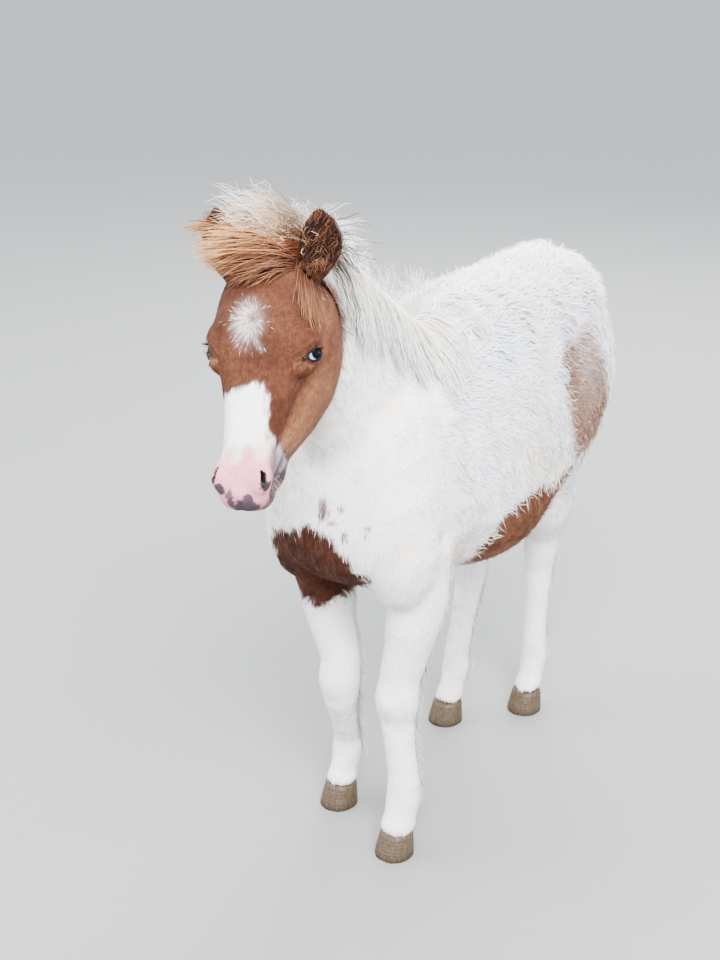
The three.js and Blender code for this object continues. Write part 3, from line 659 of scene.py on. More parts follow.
# Where the brown is paler or darker: by how much, and the ranges in which it sets in
headTones = {"cheek": (0.16, (2, -0.06, -0.24), (0, 0.15, 0.5)),
             "low cheek": (0.26, (0, 0.6, 0.8), (2, -0.1, -0.2)),
             "jaw": (0.12, (1, 0.12, 0.2), (2, -0.1, -0.2))}
bodyTones = {"thigh": (0.38, (1, 360, 440)), "breast": (-0.1, (1, 120, 60)),
             "flank": (0.26, (1, 160, 220), (1, 440, 360))}
# Grey spots on the head: place, reach and depth of the grey
greySpots = [((1.014, 0.028, -0.1), 0.052, 0.95), ((0.99, 0.038, -0.058), 0.02, 0.9),
             ((0.963, -0.073, -0.046), 0.026, 0.95), ((0.984, -0.034, -0.055), 0.022, 0.8),
             ((1.002, -0.032, -0.07), 0.022, 0.9), ((0.938, 0.11, -0.05), 0.027, 1.0),
             ((0.89, 0.12, -0.27), 0.095, 0.86), ((0.83, 0.11, -0.2), 0.06, 0.7),
             ((0.96, 0.06, -0.27), 0.07, 0.75), ((0.83, -0.1, -0.21), 0.05, 0.6),
             ((0.9, -0.08, -0.27), 0.06, 0.5),
             ((0.87, 0.105, -0.23), 0.04, 1.0), ((0.93, 0.085, -0.24), 0.05, 0.9)]


def starAt(head):
    whorl = head[:, :2] - np.array(star["whorl"])
    angle = np.arctan2(whorl[:, 1], whorl[:, 0])
    rays = 0.5 + 0.5 * waves(np.stack([angle * 3] * 3, axis=1), 1.3, 5)
    away = (head[:, :2] - np.array(star["centre"])) / np.array(star["reach"])
    share = np.exp(-np.einsum("nd,nd->n", away, away) ** 1.3) * (0.55 + 0.45 * np.clip(rays, 0, 1))
    start, end = np.array(star["trail"])
    edge = end - start
    run = np.clip((head[:, :2] - start) @ edge / (edge @ edge), 0, 1)
    beside = np.linalg.norm(head[:, :2] - start - run[:, None] * edge, axis=1)
    share = np.maximum(share, star["trailDepth"] * (1 - run) ** 0.5 * bell(beside, 0, star["trailWidth"]))
    eye = 1 - 0.75 * bell(np.linalg.norm(whorl, axis=1), 0, 0.022)
    return share * eye * (head[:, 2] > -0.08)


# How deep in the cup of an ear each place lies, from 0 to 1.
def insideEar(places, normals):
    found = np.zeros(len(places))
    for side in sides.values():
        root, lean, faces = earAxes(side)
        along = (places - root) @ lean / earForm["length"]
        beside = np.linalg.norm(places - root - (along * earForm["length"])[:, None] * lean, axis=1)
        there = smoothStep(-0.06, 0.06, along) * smoothStep(1.1, 1.0, along) * (beside < earForm["reach"])
        found = np.maximum(found, there * smoothStep(0.05, 0.45, normals @ faces))
    return found


# The share of chestnut on the body: patches and spots, and the thigh's patch as a roan that pales upwards.
def chestnutOn(body):
    ragged = waves(body, 26, 1) * 3.5 + waves(body, 9, 2) * 2.2
    chestnut = np.zeros(len(body))
    seen = {"front": body[:, [0, 2]], "left": body[:, [1, 2]], "right": body[:, [1, 2]]}
    turned = {"front": body[:, 1] < 100, "left": body[:, 0] > 20, "right": body[:, 0] < -20}
    for patch in bodyPatches.values():
        inside = insideBy(seen[patch["seen"]], patch["outline"]) + ragged
        share = smoothStep(-0.6 * patch["soft"], patch["soft"], inside)
        chestnut = np.maximum(chestnut, share * turned[patch["seen"]])
    for x, z, wide, high in bodySpots:
        reach = np.hypot((body[:, 0] - x) / wide, (body[:, 2] - z) / high)
        share = smoothStep(1.35, 0.6, reach + ragged * 0.05) * (body[:, 1] < 60)
        chestnut = np.maximum(chestnut, share * markForm["spotDepth"])
    paler, palerAbove = markForm["roan"]
    paler = paler + palerAbove * smoothStep(490, 640, body[:, 2])
    return chestnut * (1 - paler * smoothStep(380, 440, body[:, 1]))


# The shares of white, pink and grey on the head. The grey band down each side of the nose is painted shade.
def faceOn(head, onHead):
    face = head[:, :2] + 0.008 * np.stack([waves(head, 0.06, 3), waves(head, 0.05, 4)], axis=1)
    white = np.where(head[:, 2] > -0.3, smoothStep(-0.008, 0.012, insideBy(face, blaze)), 0)
    white = np.maximum(white, star["depth"] * starAt(head))
    pink = onHead * smoothStep(0.77, 0.87, head[:, 0] + 0.02 * waves(head, 0.1, 6)) * white
    lips = inRanges(head, (0, 0.86, 0.9), (2, -0.13, -0.17))
    pink = np.maximum(pink, onHead * lips * markForm["lipPink"])
    grey = np.zeros(len(head))
    ripple = 0.005 * waves(head, 0.05, 7) + 0.003 * waves(head, 0.018, 10)
    for place, reach, depth in greySpots:
        away = np.linalg.norm(head - place, axis=1) + ripple
        grey = np.maximum(grey, smoothStep(reach * 1.15, reach * 0.8, away) * onHead * depth)
    # Painted shade: a grey band down the side of the nose towards the chin.
    paintedNoseShade = inRanges(head, (0, 0.72, 0.8), (0, 0.92, 0.86), (2, -0.05, -0.1), (2, -0.44, -0.3))
    return white, pink, np.maximum(grey, markForm["noseSideShade"] * paintedNoseShade * onHead)


# How light the brown is, from 0 to 1.
def toneOn(places, normals, body, head, onHead):
    tone = markForm["tone"] + 0.06 * waves(body, 70, 8) + 0.03 * waves(body, 24, 9)
    for lighter, *ranges in headTones.values():
        tone += onHead * lighter * inRanges(head, *ranges)
    for lighter, *ranges in bodyTones.values():
        tone += (1 - onHead) * lighter * inRanges(body, *ranges)
    underEye = bell(head[:, 0], 0.55, 0.07) * inRanges(head, (2, -0.16, -0.08), (1, 0.09, 0.13))
    tone += onHead * markForm["underEyeTone"] * underEye
    tone = tone * (1 - markForm["earTone"] * insideEar(places, normals))
    for name in sides:
        spots, _, inside = inEye(name, places)
        tone = tone + markForm["lidTone"] * bell(inside, -5.5, 2.4)
        crease = bell(spots[:, 1], -3.4, 1.0) * smoothStep(12, 14, spots[:, 0]) * (inside > -9)
        tone = tone + markForm["creaseTone"] * crease
    return np.clip(tone, 0, 1)


# The markings of skin and hair alike: the shares of chestnut, pink and grey, and the brown's tone.
def markingsAt(places, normals, onHead):
    body, head = toBody(places), toHead(places)
    white, pink, grey = faceOn(head, onHead)
    chestnut = chestnutOn(body) * (1 - onHead)
    under = smoothStep(-0.56, -0.5, head[:, 2])
    chestnut = np.maximum(chestnut, onHead * under * (1 - white))
    return np.stack([chestnut, pink, grey, toneOn(places, normals, body, head, onHead)], axis=1)


# Bare dark skin on lids, lips and nostrils, plus painted shade above the eyes, and the shares of head and
# legs, which turn the coat's grain.
def zonesAt(places, onHead):
    bareSkinAndLidShade = np.zeros(len(places))
    for name in sides:
        spots, _, inside = inEye(name, places)
        # Painted shade: the dark rim reaches 1.7 mm further above the eye, for the shadow of the upper lid.
        reach = 2.7 + 1.7 * smoothStep(0, 3, spots[:, 1]) - 0.5 * smoothStep(10, 14, spots[:, 0])
        bareSkinAndLidShade = np.maximum(bareSkinAndLidShade, smoothStep(reach + 1.2, reach - 0.8, -inside))
    for side in sides.values():
        bareSkinAndLidShade = np.maximum(bareSkinAndLidShade, smoothStep(0.9, 0.0, besideNostril(places, side)))
    head = toHead(places)
    lips = bell(besideMouth(head), 0, 1.8) * smoothStep(0.78, 0.8, head[:, 0]) * onHead
    bareSkinAndLidShade = np.maximum(bareSkinAndLidShade, 0.85 * lips)
    legs = smoothStep(400, 320, toBody(places)[:, 2])
    return np.stack([bareSkinAndLidShade, onHead, legs, np.ones(len(places))], axis=1)


def storeValues(piece, name, values):
    attribute = piece.data.attributes.new(name, "FLOAT_COLOR", "POINT")
    attribute.data.foreach_set("color", values.astype(np.float32).ravel())


# grey: grey skin, and also the painted shade beside the nose
# lid: bare dark skin, and also the painted shade above each eye
coatTints = {"white": "#F8FAFF", "cream": "#F8F2E7", "pink": "#DE9FA6", "grey": "#4C474F", "lid": "#231D1C",
             "skinWhite": "#F4F0F0", "skinCream": "#F1EAE0",
             "brown": ((0, "#1C0F0A"), (0.2, "#44261A"), (0.5, "#6B4231"), (0.75, "#8C6047"), (1, "#AC8468"))}


# The colour of skin and hair alike, from the markings stored on the mesh. A grain makes streaks in the brown.
def coatColour(tree, whiteTint, creamTint, grain=None):
    markings = addNode(tree, "ShaderNodeAttribute", attribute_name="markings")
    parts = addNode(tree, "ShaderNodeSeparateColor", {"Color": markings.outputs["Color"]})
    place = addNode(tree, "ShaderNodeTexCoord").outputs["Object"]
    cloud = addNode(tree, "ShaderNodeTexNoise", {"Vector": place, "Scale": 14, "Detail": 3})
    fleck = addNode(tree, "ShaderNodeTexNoise", {"Vector": place, "Scale": 160, "Detail": 2})
    tone = markings.outputs["Alpha"]
    for streaks, depth in ((fleck.outputs["Fac"], 0.08), (grain, 0.12)):
        if streaks:
            streaked = addNode(tree, "ShaderNodeMapRange", {
                "Value": streaks, "From Min": 0.25, "From Max": 0.75, "To Min": -depth, "To Max": depth})
            tone = addNode(tree, "ShaderNodeMath", {0: tone, 1: streaked.outputs[0]}, operation="ADD")
            tone = tone.outputs[0]
    brown = addNode(tree, "ShaderNodeValToRGB", {"Fac": tone}, coatTints["brown"])
    creamy = addNode(tree, "ShaderNodeMapRange", {
        "Value": cloud.outputs["Fac"], "From Min": 0.4, "From Max": 0.7})
    colour = toLinear(whiteTint)
    for share, tint in ((creamy.outputs[0], toLinear(creamTint)), (parts.outputs["Red"], brown.outputs[0]),
                        (parts.outputs["Green"], toLinear(coatTints["pink"])),
                        (parts.outputs["Blue"], toLinear(coatTints["grey"]))):
        colour = addNode(tree, "ShaderNodeMix", {0: share, 6: colour, 7: tint}, data_type="RGBA").outputs[2]
    return colour


# A grain of fine hair, drawn out along the lie: each step of the pattern is 1.2 mm wide and 16 mm long.
def hairGrain(tree, turned):
    place = addNode(tree, "ShaderNodeTexCoord").outputs["Object"]
    drawnOut = addNode(tree, "ShaderNodeMapping", {
        "Vector": place, "Rotation": turned, "Scale": (1.2 * mm, 1.2 * mm, 16 * mm)}, vector_type="TEXTURE")
    grain = addNode(tree, "ShaderNodeTexNoise", {
        "Vector": drawnOut.outputs[0], "Scale": 1, "Detail": 3, "Roughness": 0.6})
    return grain.outputs["Fac"]


# Short fur is matt and soft. The lids, lips and nostrils are bare, dark and a little wet; the dark above each
# eye is partly painted lid shade.
def makeSkinMaterial():
    material, tree = newMaterial("short fur over skin")
    zones = addNode(tree, "ShaderNodeAttribute", attribute_name="zones")
    parts = addNode(tree, "ShaderNodeSeparateColor", {"Color": zones.outputs["Color"]})
    grain = hairGrain(tree, (math.radians(-70), 0, 0))
    headTilt = Vector(-headAxes[0]).to_track_quat("Z", "Y").to_euler()
    for zone, turned in (("Green", headTilt), ("Blue", (0, 0, 0))):
        grain = addNode(tree, "ShaderNodeMix", {
            0: parts.outputs[zone], 6: grain, 7: hairGrain(tree, turned)}, data_type="RGBA").outputs[2]
    colour = coatColour(tree, coatTints["skinWhite"], coatTints["skinCream"], grain)
    shaded = addNode(tree, "ShaderNodeMapRange", {
        "Value": grain, "From Min": 0.3, "From Max": 0.7, "To Min": 0.9, "To Max": 1.05})
    colour = addNode(tree, "ShaderNodeVectorMath", {0: colour, "Scale": shaded.outputs[0]}, operation="SCALE")
    bareSkinAndLidShade = addNode(tree, "ShaderNodeMix", {
        0: parts.outputs["Red"], 6: colour.outputs[0], 7: toLinear(coatTints["lid"])}, data_type="RGBA")
    bump = addNode(tree, "ShaderNodeBump", {"Height": grain, "Strength": 0.7, "Distance": 0.0015})
    rough = addNode(tree, "ShaderNodeMapRange", {
        "Value": parts.outputs["Red"], "To Min": 0.8, "To Max": 0.32})
    shader = addNode(tree, "ShaderNodeBsdfPrincipled", {
        "Base Color": bareSkinAndLidShade.outputs[2], "Normal": bump.outputs[0], "Roughness": rough.outputs[0],
        "Sheen Weight": 0.04})
    addNode(tree, "ShaderNodeOutputMaterial", {"Surface": shader.outputs[0]})
    return material


# Coat hair: rough and soft, darker at its root as painted shade down in the coat, each tuft its own shade
def makeHairMaterial(name, whiteTint, creamTint):
    material, tree = newMaterial(name)
    colour = coatColour(tree, whiteTint, creamTint)
    strand = addNode(tree, "ShaderNodeAttribute", attribute_name="strand")  # red: root to tip, green: by tuft
    parts = addNode(tree, "ShaderNodeSeparateColor", {"Color": strand.outputs["Color"]})
    # red: darker at the root and paler at the tip, as painted shade; green: each tuft's own shade
    for part, darkest, palest in (("Red", 0.93, 1.06), ("Green", 0.95, 1.05)):
        shade = addNode(tree, "ShaderNodeMapRange", {
            "Value": parts.outputs[part], "To Min": darkest, "To Max": palest})
        colour = addNode(tree, "ShaderNodeVectorMath", {
            0: colour, "Scale": shade.outputs[0]}, operation="SCALE").outputs[0]
    shader = addNode(tree, "ShaderNodeBsdfPrincipled", {
        "Base Color": colour, "Roughness": 0.7, "Sheen Weight": 0.03, "Sheen Roughness": 0.4,
        "Specular IOR Level": 0.3})
    addNode(tree, "ShaderNodeOutputMaterial", {"Surface": shader.outputs[0]})
    return material


skin.data.materials.append(makeSkinMaterial())
skinZones = zonesAt(smoothPlaces, skinHead)
storeValues(skin, "markings", markingsAt(pointsOf(skin), normalsOf(skin), skinHead))
storeValues(skin, "zones", skinZones)
report("markings")

# An unwrap of the skin, which gives each tuft the place of its root on the UV map
selectOnly(skin)
bpy.ops.object.mode_set(mode="EDIT")
bpy.ops.mesh.select_all(action="SELECT")
bpy.ops.uv.smart_project(angle_limit=math.radians(66), island_margin=0.001)
bpy.ops.object.mode_set(mode="OBJECT")
skin.data.uv_layers.active.name = "OFBake"
report("unwrap")

# The coat: tufts as thin closed meshes that follow the lie of the hair

def skinTriangles():
    mesh = skin.data
    mesh.calc_loop_triangles()
    count = len(mesh.loop_triangles)
    corners, loops = np.empty(count * 3, np.int32), np.empty(count * 3, np.int32)
    mesh.loop_triangles.foreach_get("vertices", corners)
    mesh.loop_triangles.foreach_get("loops", loops)
    uv = np.empty(len(mesh.loops) * 2, np.float32)
    mesh.uv_layers["OFBake"].data.foreach_get("uv", uv)
    return corners.reshape(-1, 3), uv.reshape(-1, 2)[loops.reshape(-1, 3)]


skinPoints, skinNormals = pointsOf(skin), normalsOf(skin)
skinCorners, skinUv = skinTriangles()
skinMiddles = skinPoints[skinCorners].mean(axis=1)
acrossFaces, upFaces = (skinPoints[skinCorners[:, k]] - skinPoints[skinCorners[:, 0]] for k in (1, 2))
skinSizes = np.linalg.norm(np.cross(acrossFaces, upFaces), axis=1) / 2
middleHead = skinHead[skinCorners].mean(axis=1)


# Roots spread over the skin, as many as asked for, by the share wanted at each face.
def rootsOn(wanted, count, seed):
    draw = np.random.default_rng(seed)
    chance = skinSizes * wanted
    faces = np.sort(draw.choice(len(chance), count, p=chance / chance.sum()))
    parts = draw.dirichlet((1, 1, 1), count)
    weigh = lambda values: np.einsum("nk,nkd->nd", parts, values[skinCorners[faces]])
    return {
        "place": weigh(skinPoints),
        "normal": unit(weigh(skinNormals)),
        "head": weigh(skinHead[:, None])[:, 0],
        "uv": np.einsum("nk,nkd->nd", parts, skinUv[faces]),
    }


# The ways in which the hair lies on each part, and how much further down it turns at the middle of the side
layForm = {"trunk": (0.0, 1.0, -0.35), "rump": (0, 0.45, -1.0), "neck": (0, 0.35, -1.0),
           "legs": (0, 0.12, -1.0), "flankTurn": 0.54}


# The way that the hair lies, along the skin.
def layAt(places, normals, onHead):
    body, head = toBody(places), toHead(places)
    y, z = body[:, 1], body[:, 2]
    way = np.tile(layForm["trunk"], (len(places), 1))
    way[:, 2] -= layForm["flankTurn"] * smoothStep(120, 30, np.abs(z - 500))
    for part, share in (("rump", smoothStep(430, 560, y)), ("neck", smoothStep(90, 0, y)),
                        ("legs", smoothStep(400, 300, z))):
        way = way * (1 - share[:, None]) + share[:, None] * np.array(layForm[part])
    radial = unit(head[:, :2] - np.array(star["whorl"]))
    side = smoothStep(-0.06, -0.2, head[:, 2])[:, None]
    noseward = smoothStep(0.4, 0.55, head[:, 0])[:, None]
    faceWay = radial @ headAxes[:2]
    faceWay = faceWay * (1 - noseward) + noseward * headAxes[0]
    sideWay = headAxes[0] * (0.55 * smoothStep(0.3, 0.6, head[:, 0])[:, None] - 0.15) - headAxes[2]
    way = way * (1 - onHead[:, None]) + onHead[:, None] * (faceWay * (1 - side) + sideWay * side)
    for earSide in sides.values():
        root, lean, _ = earAxes(earSide)
        onEar = smoothStep(8 * mm, 16 * mm, (places - root) @ lean)
        onEar = (onEar * (np.linalg.norm(places - root, axis=1) < earForm["coatReach"]))[:, None]
        way = way * (1 - onEar) + onEar * lean
    way -= normals * np.einsum("nd,nd->n", way, normals)[:, None]
    return unit(way)


# The sizes of the coat, in mm and degrees: on the trunk, and what is added on each part
coatForm = {
    "smooth": {"length": 13, "width": 0.9, "lift": 5, "curl": 0.03, "clump": 0.2, "apart": 0.7},
    "wool": {"length": 23, "width": 1.15, "lift": 10, "curl": 0.14, "clump": 0.65, "apart": 0.14},
    "fringe": {"length": 20, "width": 1.15, "lift": 20, "curl": 0.08, "clump": 0.6, "apart": 0.7},
    "back": {"length": 6, "lift": 7}, "croup": {"length": 7, "lift": 24}, "behind": {"length": 14, "lift": 8},
    "neck": {"length": 4}, "legs": {"length": -5, "width": -0.2, "lift": 2},
    "face": {"length": 6.5, "width": 0.55, "lift": 6.5}, "muzzle": {"length": -4.2, "width": -0.2},
    "jaw": {"length": 4.0, "lift": 3}, "ear": {"length": -1.0, "lift": 4},
}
# For all coat: how deep it is rooted, how many tufts draw together, how soft it is lit, and how much paler
# its brown is than the skin's, as painted light against the tufts' own shadows
tuftForm = {"rootDepth": 0.15 * mm, "spacing": 11, "earSpacing": 7, "soft": 0.82, "earSoft": 0.5,
            "edge": 2.0 * mm, "swirl": 0.1, "paler": 0.04, "paintedLightOnHead": 0.1}


# Length, width, lift and curl of the coat at each root.
def coatAt(places, normals, onHead, kind, draw):
    body, head = toBody(places), toHead(places)
    trunkParts = {
        "back": inRanges(body, (2, 560, 660), (1, 60, 200)),
        "neck": inRanges(body, (1, 80, 0), (2, 520, 620)),
        "legs": inRanges(body, (2, 400, 310)),
        "behind": smoothStep(0.15, 0.75, normals[:, 1]) * inRanges(body, (2, 52, 90), (2, 340, 270)),
        "croup": inRanges(body, (2, 665, 710), (1, 160, 330)),
    }
    faceParts = {
        "muzzle": inRanges(head, (0, 0.74, 0.86)),
        "jaw": inRanges(head, (2, -0.3, -0.45)),
        "ear": inRanges(head, (0, 0.02, -0.1)),
    }
    sizes = {}
    for size in ("length", "width", "lift"):
        trunk, face = (sum(coatForm[part].get(size, 0) * share for part, share in parts.items())
                       for parts in (trunkParts, faceParts))
        sizes[size] = (trunk + coatForm[kind][size]) * (1 - onHead) + (face + coatForm["face"][size]) * onHead
    count = len(places)
    offLegs = (1 - onHead) * (1 - trunkParts["legs"])
    return {
        "length": sizes["length"] * draw.uniform(0.7, 1.25, count) * mm,
        "width": sizes["width"] * draw.uniform(0.7, 1.25, count) * mm,
        "lift": np.radians(sizes["lift"] * draw.uniform(0.5, 1.6, count)),
        "curl": coatForm[kind]["curl"] * offLegs * draw.uniform(0.4, 1.6, count),
        "clump": coatForm[kind]["clump"] * offLegs + 0.15 * onHead + 0.25 * trunkParts["behind"],
    }


# The line of each tuft: one point for each share of its length.
def tuftLines(roots, lay, coat, shares, draw):
    side = np.cross(lay, roots["normal"])
    phase = draw.uniform(0, 6.3, len(lay))
    turns = draw.uniform(3.5, 6.5, len(lay))
    lines = []
    for share in shares:
        sway = coat["curl"] * (np.sin(phase + turns * share) - np.sin(phase))
        rise = np.sin(coat["lift"]) * (share - 0.4 * share ** 2)
        run = np.cos(coat["lift"]) * share
        steps = lay * run[:, None] + roots["normal"] * rise[:, None] + side * sway[:, None]
        lines.append(roots["place"] + steps * coat["length"][:, None])
    return np.stack(lines, axis=1)


def drawnTogether(lines, clump, spacing, shares, draw):
    heads = draw.choice(len(lines), max(1, len(lines) // spacing), replace=False)
    tree = KDTree(len(heads))
    for i, place in enumerate(lines[heads, 0]):
        tree.insert(Vector(place), i)
    tree.balance()
    leader = heads[[tree.find(Vector(place))[1] for place in lines[:, 0]]]
    pull = clump[:, None, None] * np.array(shares)[None, :, None] ** 1.4
    return lines + (lines[leader] - lines) * pull


# A mesh of many tapered hairs. Each has three-sided rings along its line and a point at its end.
def hairMesh(name, lines, normals, widths, taper, markings, uv, soft, draw, lockOf=None):
    count, stops = lines.shape[:2]
    tangent = unit(np.gradient(lines, axis=1))
    rise = normals if normals.ndim == 3 else np.broadcast_to(normals[:, None, :], lines.shape)
    side = unit(np.cross(tangent, rise))
    over = np.cross(side, tangent)
    rings = []
    for k in range(stops - 1):
        w = (widths * taper[k])[:, None]
        centre, s, o = lines[:, k], side[:, k], over[:, k]
        rings += [centre + s * w * 0.5, centre + o * w * 0.35, centre - s * w * 0.5]
    points = np.stack(rings + [lines[:, -1]], axis=1)
    each = points.shape[1]
    quads = []
    for k in range(stops - 2):
        for i in range(3):
            j = (i + 1) % 3
            quads.append((3 * k + i, 3 * k + 3 + i, 3 * k + 3 + j, 3 * k + j))
    last = 3 * (stops - 2)
    fans = [(last + i, each - 1, last + (i + 1) % 3) for i in range(3)] + [(0, 1, 2)]
    start = (np.arange(count) * each)[:, None]
    quadLoops = (np.array(quads, int).ravel()[None] + start).reshape(count, -1)
    loops = np.concatenate([quadLoops, np.array(fans).ravel()[None] + start], axis=1).ravel()
    sizes = np.tile([4] * len(quads) + [3] * 4, count)
    mesh = bpy.data.meshes.new(name)
    mesh.vertices.add(count * each)
    mesh.vertices.foreach_set("co", points.astype(np.float32).ravel())
    mesh.loops.add(len(loops))
    mesh.loops.foreach_set("vertex_index", loops.astype(np.int32))
    mesh.polygons.add(len(sizes))
    mesh.polygons.foreach_set("loop_start", np.concatenate([[0], np.cumsum(sizes)[:-1]]).astype(np.int32))
    mesh.polygons.foreach_set("use_smooth", np.ones(len(sizes), bool))
    mesh.update(calc_edges=True)
    piece = bpy.data.objects.new(name, mesh)
    bpy.context.scene.collection.objects.link(piece)
    storeValues(piece, "markings", np.repeat(markings, each, axis=0))
    along = np.array([k / (stops - 1) for k in range(stops - 1) for _ in range(3)] + [1.0])
    strand = np.zeros((count, each, 4))
    strand[..., 0] = along
    strand[..., 1] = draw.random(count)[:, None]
    if lockOf is not None:
        strand[..., 2] = lockOf[:, None]
    storeValues(piece, "strand", strand.reshape(-1, 4))
    spread = 0.003 * np.stack([along, np.array([0, 0.5, 1] * (stops - 1) + [0.5])], axis=1) - 0.0015
    placesUv = (np.clip(uv, 0.002, 0.998)[:, None] + spread[None]).reshape(-1, 2)
    layer = mesh.uv_layers.new(name="OFBake")
    layer.data.foreach_set("uv", placesUv[loops].astype(np.float32).ravel())
    if soft > 0:
        own = np.empty(len(mesh.vertices) * 3, np.float32)
        mesh.vertices.foreach_get("normal", own)
        facing = np.concatenate([np.repeat(rise[:, :-1], 3, axis=1), rise[:, -1:]], axis=1).reshape(-1, 3)
        mixedNormals = own.reshape(-1, 3) * (1 - soft) + facing * soft
        mesh.normals_split_custom_set_from_vertices(unit(mixedNormals))
    return piece


# How wide a tuft is at its stops, by how many stops it has
tuftTaper = {2: (1.0,), 3: (0.85, 1.0), 5: (0.75, 1.0, 0.9, 0.6)}


# Where two colours meet, each tuft takes one of them, as single hairs do.
def mixedHairs(markings, apart, draw):
    chestnut = markings[:, 0]
    chosen = (draw.random(len(chestnut)) < chestnut).astype(float)
    markings[:, 0] = (1 - apart) * chestnut + apart * chosen
    return markings


def growCoat(name, kind, wanted, count, stops, seed):
    draw = np.random.default_rng(seed)
    roots = rootsOn(wanted, count, seed)
    lay = layAt(roots["place"], roots["normal"], roots["head"])
    coat = coatAt(roots["place"], roots["normal"], roots["head"], kind, draw)
    body = toBody(roots["place"])
    swirl = (1 - roots["head"]) * (0.12 + 0.3 * smoothStep(520, 640, body[:, 2])) * waves(body, 80, 3)
    swirl += draw.normal(0, tuftForm["swirl"], count)
    side = np.cross(lay, roots["normal"])
    lay = unit(lay * np.cos(swirl)[:, None] + side * np.sin(swirl)[:, None])
    roots["place"] = roots["place"] - roots["normal"] * tuftForm["rootDepth"]
    shares = np.linspace(0, 1, stops)
    lines = tuftLines(roots, lay, coat, shares, draw)
    if stops > 2:
        lines = drawnTogether(lines, coat["clump"], tuftForm["spacing"], shares, draw)
    jitter = draw.normal(0, tuftForm["edge"], (count, 3)) * (1 - 0.7 * roots["head"])[:, None]
    markings = markingsAt(roots["place"] + jitter, roots["normal"], roots["head"])
    markings = mixedHairs(markings, coatForm[kind]["apart"], draw)
    # Painted light: the tufts' brown is paler than the skin's, most on the head, against their own shadows.
    markings[:, 3] += tuftForm["paintedLightOnHead"] * roots["head"] + tuftForm["paler"]
    piece = hairMesh(name, lines, roots["normal"], coat["width"], tuftTaper[stops], markings, roots["uv"],
                     tuftForm["soft"], draw)
    piece.data.materials.append(coatMaterial)
    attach(piece, "root")


coatMaterial = makeHairMaterial("foal coat hair", coatTints["white"], coatTints["cream"])
middleBody = toBody(skinMiddles)
faceNormals = unit(skinNormals[skinCorners].mean(axis=1))
covered = 1 - smoothStep(0.25, 0.6, skinZones[skinCorners, 0].mean(axis=1))
covered *= 1 - smoothStep(60, 50, middleBody[:, 2]) * smoothStep(0.1, -0.5, faceNormals[:, 2])
covered *= 1 - 0.85 * insideEar(skinMiddles, faceNormals)
onLegs = smoothStep(400, 300, middleBody[:, 2]) * (1 - middleHead) * covered
onTrunk = (1 - middleHead) * smoothStep(300, 400, middleBody[:, 2]) * covered
onHeadSkin = middleHead * covered * (1 + 0.6 * smoothStep(-0.35, -0.1, toHead(skinMiddles)[:, 2]))
woolly = onTrunk * smoothStep(70, 190, middleBody[:, 1])
woolly *= 0.35 + 0.65 * smoothStep(460, 600, middleBody[:, 2])
behindLegs = smoothStep(0.15, 0.7, faceNormals[:, 1]) * inRanges(middleBody, (2, 54, 90), (2, 440, 380))
behindLegs *= 1 - middleHead
# Each piece of coat: its kind, where it grows, how many tufts, of how many stops, and its seed
coatPieces = {
    "head_coat_1": ("smooth", onHeadSkin, 24000, 2, 31),
    "head_coat_2": ("smooth", onHeadSkin, 24000, 2, 32),
    "leg_coat_1": ("smooth", onLegs, 19000, 2, 33),
    "leg_coat_2": ("smooth", onLegs, 19000, 2, 34),
    "leg_fringe": ("fringe", behindLegs, 5500, 3, 40),
    "trunk_coat_1": ("smooth", onTrunk, 13000, 3, 35),
    "trunk_coat_2": ("smooth", onTrunk, 13000, 3, 36),
    "woolly_coat_1": ("wool", woolly, 8400, 5, 37),
    "woolly_coat_2": ("wool", woolly, 8400, 5, 38),
}
for name, (kind, wanted, count, stops, seed) in coatPieces.items():
    growCoat(name, kind, wanted, count, stops, seed)

earHairForm = {"count": 900, "stops": 5, "length": (8, 19), "width": (0.35, 0.6), "lift": (14, 42),
               "tone": (0.6, 1.0), "curl": (0, 0.3), "clump": 0.6, "astray": 0.35, "seed": 39}


# Longer tan hairs along the rim and across the cup of each ear
def growEarHair():
    draw = np.random.default_rng(earHairForm["seed"])
    count = earHairForm["count"]
    cup = insideEar(skinMiddles, faceNormals)
    roots = rootsOn(cup * (1 - cup) * 4 + 0.2 * cup, count, earHairForm["seed"])
    lay = np.where(toHead(roots["place"])[:, 1:2] > 0, headWay(earForm["lean"]), headWay(earForm["lean"], -1))
    outwards = roots["normal"] * np.einsum("nd,nd->n", lay, roots["normal"])[:, None]
    lay = unit(lay + draw.normal(0, earHairForm["astray"], (count, 3)) - outwards)
    coat = {"length": draw.uniform(*earHairForm["length"], count) * mm,
            "curl": draw.uniform(*earHairForm["curl"], count),
            "lift": np.radians(draw.uniform(*earHairForm["lift"], count))}
    clump = np.full(count, earHairForm["clump"])
    shares = np.linspace(0, 1, earHairForm["stops"])
    lines = tuftLines(roots, lay, coat, shares, draw)
    lines = drawnTogether(lines, clump, tuftForm["earSpacing"], shares, draw)
    tones = draw.uniform(*earHairForm["tone"], count)
    markings = np.stack([np.ones(count), np.zeros(count), np.zeros(count), tones], axis=1)
    widths = draw.uniform(*earHairForm["width"], count) * mm
    piece = hairMesh("ear_hair", lines, roots["normal"], widths, tuftTaper[earHairForm["stops"]], markings,
                     roots["uv"], tuftForm["earSoft"], draw)
    piece.data.materials.append(coatMaterial)
    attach(piece, "root")


growEarHair()
report("coat")

# Long hair: strands that start on the skin, fall under their own weight and lie over the body

skinTree = treeOf(skin)
windWay = np.array([-0.8, -0.58, 0.12])


drapeForm = {"bend": 30 * mm, "keeps": 0.35, "rise": 3}


